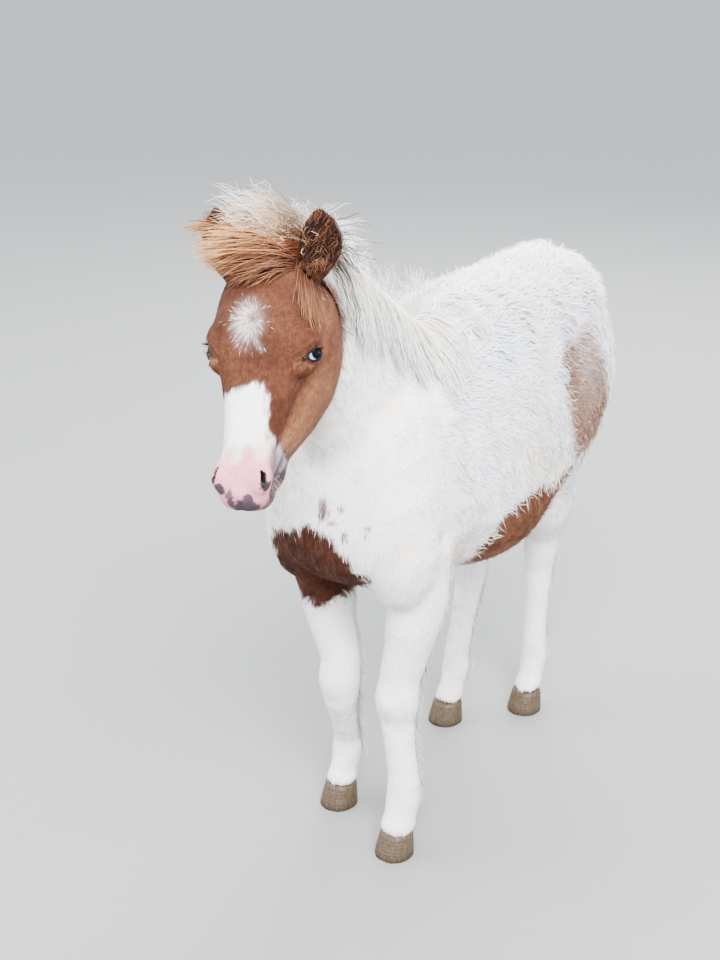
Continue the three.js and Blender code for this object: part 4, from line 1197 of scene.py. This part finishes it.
# Steps each strand along. Its way bends down by its weight, and it stays the given height above the skin.
def drapedLines(starts, ways, lengths, stops, weight, height, wind):
    places, way = starts.copy(), unit(ways)
    step = (lengths / (stops - 1))[:, None]
    lines, facings = [places], []
    for k in range(1, stops):
        pull = np.array([0, 0, -1.0]) * weight + windWay * wind
        way = unit(way + pull * step / drapeForm["bend"])
        ahead = places + way * step
        facing = np.empty_like(ahead)
        for i, place in enumerate(ahead):
            foot, normal, _, _ = skinTree.find_nearest(Vector(place))
            above = (Vector(place) - foot).dot(normal)
            wanted = height[i] * min(1, k / drapeForm["rise"])
            if above < wanted:
                ahead[i] = foot + normal * wanted
            facing[i] = normal
        way = unit(drapeForm["keeps"] * way + (1 - drapeForm["keeps"]) * unit(ahead - places))
        places = ahead
        lines.append(places)
        facings.append(facing)
    return np.stack(lines, axis=1), np.stack([facings[0]] + facings, axis=1)


def lockTree(starts, count, draw):
    heads = draw.choice(len(starts), count, replace=False)
    tree = KDTree(count)
    for i, place in enumerate(starts[heads]):
        tree.insert(Vector(place), i)
    tree.balance()
    return heads, np.array([tree.find(Vector(place))[1] for place in starts])


# Gathers strands into locks that wave together, and frays them a little.
def wavedLocks(lines, facings, lengths, locks, gather, wave, draw):
    count, stops = lines.shape[:2]
    heads, lockOf = lockTree(lines[:, 0], locks, draw)
    share = np.linspace(0, 1, stops)[None, :, None]
    leader = lines[heads[lockOf]] + (lines[:, :1] - lines[heads[lockOf]][:, :1]) * 0.35
    lines = lines + (leader - lines) * gather * share ** 0.8
    along = unit(np.gradient(lines, axis=1))
    side = unit(np.cross(along, facings))
    phase = draw.uniform(0, 6.3, locks)[lockOf] + draw.normal(0, 0.5, count)
    pitch = draw.uniform(0.75, 1.35, locks)[lockOf] * wave["length"]
    turn = 2 * math.pi * share[..., 0] * (lengths / pitch)[:, None] + phase[:, None]
    swell = wave["height"] * draw.uniform(0.5, 1.5, locks)[lockOf][:, None] * share[..., 0] ** 0.7
    lines = lines + side * (np.sin(turn) * swell)[..., None]
    lines = lines + facings * ((np.cos(turn * 0.9) + 1) * swell * 0.35)[..., None]
    stray = draw.normal(0, 1, (count, 3))[:, None, :] * wave["stray"] * share ** 1.5
    return lines + stray, draw.random(locks)[lockOf]


# Hair colour from root to tip, with each strand and each lock a little lighter or darker.
def makeLongHairMaterial(name, root, middle, tip):
    material, tree = newMaterial(name)
    strand = addNode(tree, "ShaderNodeAttribute", attribute_name="strand")
    parts = addNode(tree, "ShaderNodeSeparateColor", {"Color": strand.outputs["Color"]})
    stops = ((0, root), (0.45, middle), (1, tip))
    colour = addNode(tree, "ShaderNodeValToRGB", {"Fac": parts.outputs["Red"]}, stops).outputs[0]
    for part, darkest, palest in (("Green", 0.88, 1.08), ("Blue", 0.9, 1.04)):       # each hair and each lock
        shade = addNode(tree, "ShaderNodeMapRange", {
            "Value": parts.outputs[part], "To Min": darkest, "To Max": palest})
        colour = addNode(tree, "ShaderNodeVectorMath", {
            0: colour, "Scale": shade.outputs[0]}, operation="SCALE").outputs[0]
    shader = addNode(tree, "ShaderNodeBsdfPrincipled", {"Base Color": colour, "Roughness": 0.5})
    addNode(tree, "ShaderNodeOutputMaterial", {"Surface": shader.outputs[0]})
    return material


def longTaper(stops):
    share = np.linspace(0, 1, stops)
    return 0.55 + 0.45 * np.minimum(1, share * 5) - 0.6 * np.maximum(0, share - 0.4) ** 1.5


def uvOf(places):
    found = []
    for place in places:
        face = skinTree.find_nearest(Vector(place))[2]
        loops = skin.data.polygons[face].loop_indices
        found.append(skin.data.uv_layers["OFBake"].data[loops[0]].uv[:])
    return np.array(found)


def growLocks(name, starts, ways, lengths, form, material, draw):
    height = draw.uniform(*form["height"], len(starts)) * mm
    lines, facings = drapedLines(starts, ways, lengths, form["stops"], form["weight"], height, form["wind"])
    lines, lockOf = wavedLocks(lines, facings, lengths, form["locks"], form["gather"], form["wave"], draw)
    widths = draw.uniform(*form["width"], len(starts)) * mm
    markings = np.zeros((len(starts), 4))
    piece = hairMesh(name, lines, facings, widths, longTaper(form["stops"]), markings, uvOf(starts),
                     form.get("soft", 0.6), draw, lockOf)
    piece.data.materials.append(material)
    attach(piece, "root")
    return piece


neckLine = [(0, 118, 565), (0, 62, 625), (2, 14, 686), (6, -32, 746), (10, -68, 796), (13, -94, 830)]


# The crest: the top edge of the neck, at shares from the withers (0) to the poll (1).
def crestAt(shares):
    stops = fromBody(neckLine)
    run = np.clip(np.asarray(shares), 0, 1) * (len(stops) - 1)
    index = np.minimum(run.astype(int), len(stops) - 2)
    part = (run - index)[:, None]
    axis = stops[index] * (1 - part) + stops[index + 1] * part
    along = unit(stops[index + 1] - stops[index])
    top = unit(np.array([0, 0.35, 1.0]) - along * (along @ np.array([0, 0.35, 1.0]))[:, None])
    found = []
    for place, way in zip(axis, top):
        hit = skinTree.ray_cast(Vector(place + way * 0.25), Vector(-way))[0]
        found.append(hit if hit else place)
    return np.array(found), along, top


# Each part of the mane: where along the crest it grows (shares), how its strands hang, and its seed.
# Lengths and heights above the skin are in mm, the parts of a wave in metres.
maneForm = {
    "cheek": {"count": 240, "stops": 12, "length": (50, 95), "weight": 0.7, "height": (0.5, 4), "wind": 0.0,
              "locks": 30, "gather": 0.5, "width": (0.5, 0.9), "seed": 55,
              "wave": {"length": 50 * mm, "height": 2.6 * mm, "stray": 3 * mm},
              "box": ((-0.12, 0.0), (0.1, 0.2), (-0.4, -0.22))},
    "left": {"count": 1340, "stops": 14, "length": (95, 170), "weight": 0.8, "height": (0.5, 6), "wind": 0.0,
             "locks": 110, "gather": 0.6, "width": (0.6, 1.05), "seed": 51, "side": 1.0, "bias": 0.75,
             "wave": {"length": 52 * mm, "height": 3.4 * mm, "stray": 3 * mm}},
    "right": {"count": 620, "stops": 12, "length": (80, 140), "weight": 0.8, "height": (1, 9), "wind": 0.05,
              "locks": 70, "gather": 0.6, "width": (0.7, 1.2), "seed": 52, "side": -1.0,
              "wave": {"length": 46 * mm, "height": 3.2 * mm, "stray": 3 * mm}},
    "crest": {"count": 520, "stops": 14, "length": (50, 95), "weight": 0.12, "height": (1, 6), "wind": 0.22,
              "locks": 70, "gather": 0.6, "width": (0.3, 0.6), "seed": 53, "shares": (0.1, 1.0),
              "wave": {"length": 30 * mm, "height": 5.0 * mm, "stray": 5.0 * mm}},
    "wild": {"count": 150, "stops": 16, "length": (90, 150), "weight": 0.06, "height": (3, 10), "wind": 0.3,
             "locks": 40, "gather": 0.45, "width": (0.22, 0.42), "seed": 56, "shares": (0.3, 0.92),
             "wave": {"length": 42 * mm, "height": 6.0 * mm, "stray": 9.0 * mm}},
    "nape": {"count": 400, "stops": 12, "length": (50, 95), "weight": 0.4, "height": (0.5, 7), "wind": 0.08,
             "locks": 60, "gather": 0.45, "width": (0.45, 0.8), "seed": 57,
             "wave": {"length": 42 * mm, "height": 3.6 * mm, "stray": 4 * mm},
             "box": ((-22, 42), (-96, -48), (862, 864))},
    "poll": {"count": 520, "stops": 16, "ends": (-0.22, 0.0), "weight": 0.14, "height": (3, 20), "wind": 0.3,
             "locks": 60, "gather": 0.6, "width": (0.25, 0.5), "seed": 54,
             "wave": {"length": 40 * mm, "height": 4.6 * mm, "stray": 6.0 * mm}},
}
hairTints = {"mane": ("#EFE6D6", "#F8F3E8", "#FCFBF8"), "poll": ("#C08F64", "#E3C2A0", "#F8F1E6"),
             "forelock": ("#77432A", "#B27C56", "#DFB286"), "underside": ("#4E2D20", "#80533C", "#AE7F60"),
             "tail": ("#E4DCCD", "#F3EEE3", "#F9F7F2")}
longForm = {"astray": 0.14, "rootSpread": 4.5 * mm, "besideCrest": 3 * mm, "depth": 1.0 * mm,
            "shortest": 0.09}


# Places on the skin under points of the head's front, set back a little into the skin.
def onTop(u, v):
    starts = []
    for place in fromHead(np.stack([u, v, np.full(len(u), 0.25)], axis=1)):
        hit = skinTree.ray_cast(Vector(place), Vector(-headAxes[2]))[0]
        starts.append(hit if hit else skinTree.find_nearest(Vector(place))[0])
    return np.array(starts) - headAxes[2] * longForm["depth"]


def onSkin(places):
    feet = [skinTree.find_nearest(Vector(place))[:2] for place in places]
    return np.array([foot - normal * longForm["depth"] for foot, normal in feet])


# Lengths of hair blown to the animal's right, so that the tips end between two places across the head.
def reachTo(beside, ends, draw):
    across = np.maximum(beside - draw.uniform(*ends, len(beside)), longForm["shortest"])
    return across * headForm["length"] * 1.12


def growMane():
    cream = makeLongHairMaterial("cream mane hair", *hairTints["mane"])
    blond = makeLongHairMaterial("blond poll hair", *hairTints["poll"])
    for part, form in maneForm.items():
        draw = np.random.default_rng(form["seed"])
        count, side = form["count"], form.get("side", 0.0)
        share = draw.uniform(*form.get("shares", (0.02, 1.0)), count) ** form.get("bias", 1)
        starts, along, top = crestAt(share)
        across = unit(np.cross(along, top))
        across *= np.sign(across[:, :1])
        spot = draw.normal(0, longForm["rootSpread"], count) + side * longForm["besideCrest"]
        starts = onSkin(starts + across * spot[:, None])
        if part == "crest":
            ways = top * draw.uniform(0.7, 1.3, count)[:, None]
            ways = ways + windWay * draw.uniform(0.1, 0.8, count)[:, None] - along * 0.2
        elif part == "wild":
            ways = top * draw.uniform(0.4, 0.9, count)[:, None] + windWay
        elif part == "poll":
            beside = draw.uniform(-0.06, 0.17, count)
            starts = onSkin(fromHead(np.stack([draw.uniform(-0.1, 0.02, count), beside, 0 * beside], axis=1)))
            ways = np.array([0, 0, 0.6]) + windWay * draw.uniform(0.4, 1.1, count)[:, None]
        elif part == "nape":                      # over the end of the crest, behind the ears, to both sides
            spots = [draw.uniform(*reach, count) for reach in form["box"]]
            starts = onSkin(fromBody(np.stack(spots, axis=1)))
            ways = np.stack([(spots[0] - 10) / 30, draw.uniform(-0.6, 0.8, count), 0 * share + 0.3], axis=1)
        elif part == "cheek":
            spots = [draw.uniform(*reach, count) for reach in form["box"]]
            starts = onSkin(fromHead(np.stack(spots, axis=1)))
            ways = np.tile([0.25, 0.35, -0.9], (count, 1))
        else:
            ways = top * 0.5 + across * side * 0.9 - along * draw.uniform(0.1, 0.5, count)[:, None]
        ways = ways + draw.normal(0, longForm["astray"], (count, 3))
        if "ends" in form:
            lengths = reachTo(beside, form["ends"], draw)
        else:
            lengths = draw.uniform(*form["length"], count) * mm * (0.55 + 0.45 * smoothStep(0.0, 0.35, share))
        material = blond if part == "poll" else cream
        growLocks(f"mane_{part}", starts, ways, lengths, form, material, draw)
    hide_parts("mane")


# Each part of the forelock: its roots along and across the head, the way it starts, and how its strands hang
forelockForm = {
    "under": {"count": 420, "stops": 12, "ends": (-0.17, -0.04), "weight": 0.2, "height": (1, 7), "wind": 0.1,
              "locks": 50, "gather": 0.5, "width": (0.45, 0.75), "seed": 64,
              "wave": {"length": 70 * mm, "height": 1.8 * mm, "stray": 3.0 * mm},
              "roots": ((0.04, 0.09), (-0.1, 0.13)), "way": (0.25, -0.9, 0.3)},
    "sweep": {"count": 950, "stops": 12, "ends": (-0.27, -0.17), "weight": 0.2, "height": (1, 22),
              "wind": 0.12, "locks": 80, "gather": 0.45, "width": (0.45, 0.8), "seed": 61,
              "wave": {"length": 80 * mm, "height": 1.8 * mm, "stray": 3.0 * mm},
              "roots": ((-0.05, 0.06), (-0.1, 0.15)), "way": (0.12, -0.9, 0.45)},
    "brow": {"count": 200, "stops": 10, "length": (32, 62), "weight": 0.3, "height": (1, 6), "wind": 0.1,
             "locks": 40, "gather": 0.45, "width": (0.4, 0.7), "seed": 62,
             "wave": {"length": 60 * mm, "height": 1.6 * mm, "stray": 2.5 * mm},
             "roots": ((0.05, 0.1), (-0.02, 0.13)), "way": (0.4, -0.85, 0.35)},
    "temple": {"count": 200, "stops": 11, "length": (55, 85), "weight": 0.5, "height": (0.5, 3.5),
               "wind": 0.0, "locks": 20, "gather": 0.4, "width": (0.4, 0.7), "seed": 63,
               "wave": {"length": 80 * mm, "height": 1.0 * mm, "stray": 1.5 * mm},
               "roots": ((0.04, 0.08), (0.125, 0.155)), "way": (0.8, 0.33, -0.05)},
}


def growForelock():
    blond = makeLongHairMaterial("tan forelock hair", *hairTints["forelock"])
    brown = makeLongHairMaterial("brown forelock hair", *hairTints["underside"])
    for part, form in forelockForm.items():
        draw = np.random.default_rng(form["seed"])
        count = form["count"]
        along, across = form["roots"]
        beside = draw.uniform(*across, count)
        starts = onTop(draw.uniform(*along, count), beside)
        ways = np.tile(np.array(form["way"]) @ headAxes, (count, 1))
        ways = ways + draw.normal(0, longForm["astray"], (count, 3))
        if "ends" in form:
            lengths = reachTo(beside, form["ends"], draw)
        else:
            lengths = draw.uniform(*form["length"], count) * mm
        material = blond if part == "sweep" else brown
        growLocks(f"forelock_{part}", starts, ways, lengths, form, material, draw)
    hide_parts("forelock")


# The tail hangs round a dock, a line that thins from its root to its end
tailForm = {"count": 700, "stops": 16, "length": (110, 185), "weight": 0.9, "height": (1, 8), "wind": 0.0,
            "locks": 60, "gather": 0.5, "width": (0.8, 1.4), "soft": 0.0, "seed": 71,
            "wave": {"length": 55 * mm, "height": 4.0 * mm, "stray": 4.0 * mm},
            "dock": [(0, 590, 684), (0, 606, 670), (2, 626, 632), (3, 632, 590)], "dockRadius": (15, 9),
            "outwards": (0.5, 0.35, 0.2), "falls": (-0.1, 0.12, -0.9)}


def growTail():
    material = makeLongHairMaterial("cream tail hair", *hairTints["tail"])
    draw = np.random.default_rng(tailForm["seed"])
    count = tailForm["count"]
    stops = fromBody(tailForm["dock"])
    share = draw.uniform(0, 1, count) ** 0.8
    run = share * (len(stops) - 1)
    index = np.minimum(run.astype(int), len(stops) - 2)
    axis = stops[index] + (stops[index + 1] - stops[index]) * (run - index)[:, None]
    turned = draw.uniform(0, 2 * math.pi, count)
    outward = np.stack([np.cos(turned), np.sin(turned), 0.15 * np.ones(count)], axis=1)
    big, small = tailForm["dockRadius"]
    starts = axis + outward * ((big - (big - small) * share) * mm)[:, None] * 0.9
    ways = outward * np.array(tailForm["outwards"]) + np.array(tailForm["falls"])
    ways = ways + draw.normal(0, longForm["astray"], (count, 3))
    lengths = draw.uniform(*tailForm["length"], count) * mm * (1.0 - 0.1 * share)
    piece = growLocks("tail_hair", starts, ways, lengths, tailForm, material, draw)
    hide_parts("tail")


growMane()
growForelock()
growTail()
report("long hair")

# The eyes: pale blue, as this foal has them, with a dark oval pupil under a clear bulge

eyeballForm = {"segments": 56, "rings": 40, "bulge": 0.8, "bulgeReach": 0.72, "iris": 0.68,
               "pupil": (0.47, 0.38)}
eyeTints = {"pupil": "#070C1E", "inner": "#4F739C", "iris": "#8BA7C6", "outer": "#AEC3D8", "ring": "#343D4A",
            "white": "#D8CBC6"}


# Wet and glossy: a clear front over a pale, streaked iris
def makeEyeMaterial():
    material, tree = newMaterial("wet eyeball")
    gaze = addNode(tree, "ShaderNodeAttribute", attribute_name="gaze")     # red: from the middle, green: oval
    parts = addNode(tree, "ShaderNodeSeparateColor", {"Color": gaze.outputs["Color"]})
    iris = eyeballForm["iris"]
    stops = ((0, eyeTints["inner"]), (iris * 0.55, eyeTints["iris"]), (iris * 0.9, eyeTints["outer"]),
             (iris, eyeTints["ring"]), (iris * 1.06, eyeTints["ring"]), (iris * 1.14, eyeTints["white"]),
             (1, eyeTints["white"]))
    colour = addNode(tree, "ShaderNodeValToRGB", {"Fac": parts.outputs["Red"]}, stops)
    place = addNode(tree, "ShaderNodeTexCoord").outputs["Object"]
    streaks = addNode(tree, "ShaderNodeTexNoise", {"Vector": place, "Scale": 1400, "Detail": 3})
    shade = addNode(tree, "ShaderNodeMapRange", {
        "Value": streaks.outputs["Fac"], "From Min": 0.3, "From Max": 0.7, "To Min": 0.8, "To Max": 1.08})
    colour = addNode(tree, "ShaderNodeVectorMath", {
        0: colour.outputs[0], "Scale": shade.outputs[0]}, operation="SCALE")
    edge = addNode(tree, "ShaderNodeMapRange", {
        "Value": parts.outputs["Green"], "From Min": 0.95, "From Max": 1.05})
    colour = addNode(tree, "ShaderNodeMix", {
        0: edge.outputs[0], 6: toLinear(eyeTints["pupil"]), 7: colour.outputs[0]}, data_type="RGBA")
    shader = addNode(tree, "ShaderNodeBsdfPrincipled", {
        "Base Color": colour.outputs[2], "Roughness": 0.1, "IOR": 1.376, "Specular IOR Level": 0.3,
        "Coat Weight": 0.2})
    addNode(tree, "ShaderNodeOutputMaterial", {"Surface": shader.outputs[0]})
    return material


def makeEyeball(name, side, material):
    bpy.ops.object.select_all(action="DESELECT")
    segments, rings = eyeballForm["segments"], eyeballForm["rings"]
    bpy.ops.mesh.primitive_uv_sphere_add(segments=segments, ring_count=rings, radius=1)
    eyeball = bpy.context.object
    eyeball.name = f"{name}_eyeball"
    points = pointsOf(eyeball)
    across = np.hypot(points[:, 0], points[:, 1])
    wide, high = eyeballForm["pupil"]
    front = points[:, 2] > 0
    oval = np.hypot(points[:, 0] / wide, points[:, 1] / high)
    gaze = [np.where(front, across, 1), np.where(front, oval, 9), across, np.ones(len(points))]
    storeValues(eyeball, "gaze", np.stack(gaze, axis=1))
    bulge = eyeballForm["bulge"] * np.maximum(0, 1 - (across / eyeballForm["bulgeReach"]) ** 2) * front
    looks = headWay(eyeForm["pupil"], side)
    slit = unit(eyeAxes(side)[0] - looks * (eyeAxes(side)[0] @ looks))
    axes = np.array([slit, np.cross(looks, slit), looks])
    movePoints(eyeball, eyeCentre(name) + points * (eyeForm["radius"] + bulge)[:, None] * mm @ axes)
    bpy.ops.object.shade_smooth()
    eyeball.data.materials.append(material)
    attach(eyeball, "root")
    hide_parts(f"{name}_eye")


# Fine stiff hairs: lashes and whiskers, each a curved spike
def makeStiffHairMaterial(name, tint, tip):
    material, tree = newMaterial(name)
    strand = addNode(tree, "ShaderNodeAttribute", attribute_name="strand")
    parts = addNode(tree, "ShaderNodeSeparateColor", {"Color": strand.outputs["Color"]})
    colour = addNode(tree, "ShaderNodeValToRGB", {"Fac": parts.outputs["Red"]}, ((0, tint), (1, tip)))
    shader = addNode(tree, "ShaderNodeBsdfPrincipled", {"Base Color": colour.outputs[0], "Roughness": 0.4})
    addNode(tree, "ShaderNodeOutputMaterial", {"Surface": shader.outputs[0]})
    return material


def growSpikes(name, starts, ways, bend, lengths, widths, stops, material, draw):
    share = np.linspace(0, 1, stops)[None, :, None]
    run = unit(ways)[:, None] * share + bend[:, None] * share ** 2
    lines = starts[:, None] + run * lengths[:, None, None]
    normals = unit(np.cross(ways, np.cross(ways, bend) + 1e-6))
    taper = np.linspace(1, 0.45, stops - 1)
    piece = hairMesh(name, lines, normals, widths, taper, np.zeros((len(starts), 4)), uvOf(starts), 0, draw)
    piece.data.materials.append(material)
    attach(piece, "root")


lashForm = {"upper": (64, (7, 12)), "lower": (26, (3, 6)), "width": 0.32 * mm, "stops": 5,
            "seeds": {"left": 81, "right": 82}, "tints": ("#1B1412", "#2E211B"), "along": (-10.5, 11)}


def growLashes():
    material = makeStiffHairMaterial("dark lashes", *lashForm["tints"])
    outline = np.array(lidOutline())
    middle = len(outline) // 2
    for name, side in sides.items():
        draw = np.random.default_rng(lashForm["seeds"][name])
        starts, ways, bends, lengths = [], [], [], []
        for edge, up, (count, reach) in ((outline[:middle + 1], 1, lashForm["upper"]),
                                         (outline[middle:], -1, lashForm["lower"])):
            edge = edge[np.argsort(edge[:, 0])]
            along = draw.uniform(*lashForm["along"], count)
            rise = np.interp(along, edge[:, 0], edge[:, 1]) + up * draw.uniform(0.4, 1.4, count)
            ball = eyeForm["radius"] + eyeForm["lid"] - 0.3
            out = np.sqrt(np.maximum(ball ** 2 - along ** 2 - rise ** 2, 1))
            starts.append(np.stack([along, rise, out], axis=1))
            fan = along / 12 + draw.normal(0, 0.15, count)
            rising = 0.25 * up + draw.normal(0, 0.12, count)
            ways.append(np.stack([0.55 * fan, rising, np.ones(count)], axis=1))
            bends.append(np.tile([0, -0.3 * up, 0.0], (count, 1)))
            lengths.append(draw.uniform(*reach, count) * (1 - 0.35 * (along / 12) ** 2))
        axes = eyeAxes(side)
        starts = eyeCentre(name) + np.concatenate(starts) * mm @ axes
        ways, bends = np.concatenate(ways) @ axes, np.concatenate(bends) @ axes
        lengths = np.concatenate(lengths) * mm
        widths = lashForm["width"] * draw.uniform(0.8, 1.2, len(starts))
        growSpikes(f"{name}_lashes", starts, ways, bends, lengths, widths, lashForm["stops"], material, draw)


whiskerForm = {"count": 190, "length": (8, 24), "width": 0.3 * mm, "stops": 6, "seed": 85, "depth": 0.5 * mm,
               "tints": ("#8F8079", "#D6CCC4"), "box": ((0.8, 0.99), (-1, 1), (-0.36, -0.08)),
               "target": (0.9, 0.05, -0.16)}


def growWhiskers():
    draw = np.random.default_rng(whiskerForm["seed"])
    count = whiskerForm["count"]
    u, v, w = (draw.uniform(*reach, count) for reach in whiskerForm["box"])
    outside = fromHead(np.stack([u, np.sign(v) * 0.3, w], axis=1))
    starts, ways = [], []
    for place, share in zip(outside, v):
        target = fromHead(np.array(whiskerForm["target"]) * (1, share, 1))
        hit, normal = skinTree.ray_cast(Vector(place), Vector(unit(target - place)))[:2]
        if hit:
            starts.append(hit)
            ways.append(normal)
    starts, normals = np.array(starts), np.array(ways)
    ways = normals + headAxes[0] * 0.35 - headAxes[2] * 0.2 + draw.normal(0, 0.18, starts.shape)
    bends = np.tile([0, 0, -0.25], (len(starts), 1)) + draw.normal(0, 0.1, starts.shape)
    lengths = draw.uniform(*whiskerForm["length"], len(starts)) * mm
    widths = whiskerForm["width"] * draw.uniform(0.8, 1.2, len(starts))
    material = makeStiffHairMaterial("grey whiskers", *whiskerForm["tints"])
    starts = starts - normals * whiskerForm["depth"]
    growSpikes("whiskers", starts, ways, bends, lengths, widths, whiskerForm["stops"], material, draw)


# Hooves: horn with growth rings, worn smooth, that shows under the hair of the coronet
hoofForm = {"grain": 1.6 * mm, "rounds": 7, "ring": 4.6, "ringDepth": 0.22, "out": 0.8, "flat": 2.6,
            "streaks": (420, 420, 45), "tints": ((0.25, "#55493D"), (0.5, "#665848"), (0.75, "#776856"))}


# Horn gives a dull, waxy gloss, with streaks down the wall and a darker edge at the ground
def makeHornMaterial():
    material, tree = newMaterial("hoof horn")
    place = addNode(tree, "ShaderNodeTexCoord").outputs["Object"]
    mapping = addNode(tree, "ShaderNodeMapping", {"Vector": place, "Scale": hoofForm["streaks"]})
    streak = addNode(tree, "ShaderNodeTexNoise", {"Vector": mapping.outputs[0], "Scale": 1, "Detail": 3})
    colour = addNode(tree, "ShaderNodeValToRGB", {"Fac": streak.outputs["Fac"]}, hoofForm["tints"])
    height = addNode(tree, "ShaderNodeSeparateXYZ", {"Vector": place})
    low = addNode(tree, "ShaderNodeMapRange", {
        "Value": height.outputs["Z"], "From Max": 0.012, "To Min": 0.65})
    colour = addNode(tree, "ShaderNodeVectorMath", {
        0: colour.outputs[0], "Scale": low.outputs[0]}, operation="SCALE")
    bump = addNode(tree, "ShaderNodeBump", {
        "Height": streak.outputs["Fac"], "Strength": 0.35, "Distance": 0.0005})
    shader = addNode(tree, "ShaderNodeBsdfPrincipled", {
        "Base Color": colour.outputs[0], "Normal": bump.outputs[0], "Roughness": 0.45})
    addNode(tree, "ShaderNodeOutputMaterial", {"Surface": shader.outputs[0]})
    return material


def makeHoof(leg, material):
    horn = roundedPiece(joinedCopy(f"{leg}_horn", [f"{leg}_hoof"]), hoofForm["grain"], hoofForm["rounds"])
    low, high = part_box(f"{leg}_hoof")
    points = pointsOf(horn)
    middle = (np.array(low) + np.array(high)) / 2
    height = points[:, 2] / mm
    ring = hoofForm["ringDepth"] * np.sin(height * 2 * math.pi / hoofForm["ring"]) * smoothStep(2, 5, height)
    outwards = unit((points - middle) * (1, 1, 0))
    out = (ring + hoofForm["out"]) * smoothStep(high[2] / mm - 1, high[2] / mm - 4, height)
    points = points + outwards * out[:, None] * mm
    points[:, 2] = np.where(height < hoofForm["flat"], 0, points[:, 2] - 0.4 * mm * smoothStep(12, 3, height))
    movePoints(horn, points)
    selectOnly(horn)
    bpy.ops.object.shade_smooth_by_angle(angle=math.radians(50))
    horn.data.materials.append(material)
    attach(horn, "root")
    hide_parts(f"{leg}_hoof")


eyeMaterial = makeEyeMaterial()
hornMaterial = makeHornMaterial()
for name, side in sides.items():
    makeEyeball(name, side, eyeMaterial)
for leg in legNames:
    makeHoof(leg, hornMaterial)
growLashes()
growWhiskers()
report("eyes, lashes, whiskers and hooves")

# The stage: a pale floor and soft light from large lamps

stageForm = {"floor": "#9C9C9A", "size": 60, "world": 1.55, "sky": "#F0F3FA"}
# Place, size and power of each lamp; all point at the middle of the animal
lamps = {
    "key_light": ((2.0, -2.0, 3.4), 2.4, 210),
    "fill_light": ((-2.8, -1.6, 2.0), 2.5, 40),
    "rim_light": ((-0.8, 2.6, 2.8), 2.0, 85),
}
lampTarget = Vector((0, 0, 0.5))


def makeStage():
    bpy.ops.object.select_all(action="DESELECT")
    bpy.ops.mesh.primitive_plane_add(size=stageForm["size"], location=(0, 0, 0))
    floor = bpy.context.object
    floor.name = "floor"
    material, tree = newMaterial("painted floor")
    shader = addNode(tree, "ShaderNodeBsdfPrincipled", {
        "Base Color": toLinear(stageForm["floor"]), "Roughness": 0.85})
    addNode(tree, "ShaderNodeOutputMaterial", {"Surface": shader.outputs[0]})
    floor.data.materials.append(material)
    bpy.context.scene.view_settings.look = "AgX - High Contrast"
    world = bpy.data.worlds.new("studio")
    bpy.context.scene.world = world
    world.use_nodes = True
    background = world.node_tree.nodes["Background"]
    background.inputs["Color"].default_value = toLinear(stageForm["sky"])
    background.inputs["Strength"].default_value = stageForm["world"]
    for name, (place, size, power) in lamps.items():
        data = bpy.data.lights.new(name, "AREA")
        data.size, data.energy = size, power
        lamp = bpy.data.objects.new(name, data)
        lamp.location = place
        lamp.rotation_euler = (lampTarget - Vector(place)).to_track_quat("-Z", "Y").to_euler()
        bpy.context.scene.collection.objects.link(lamp)


makeStage()
report("stage")
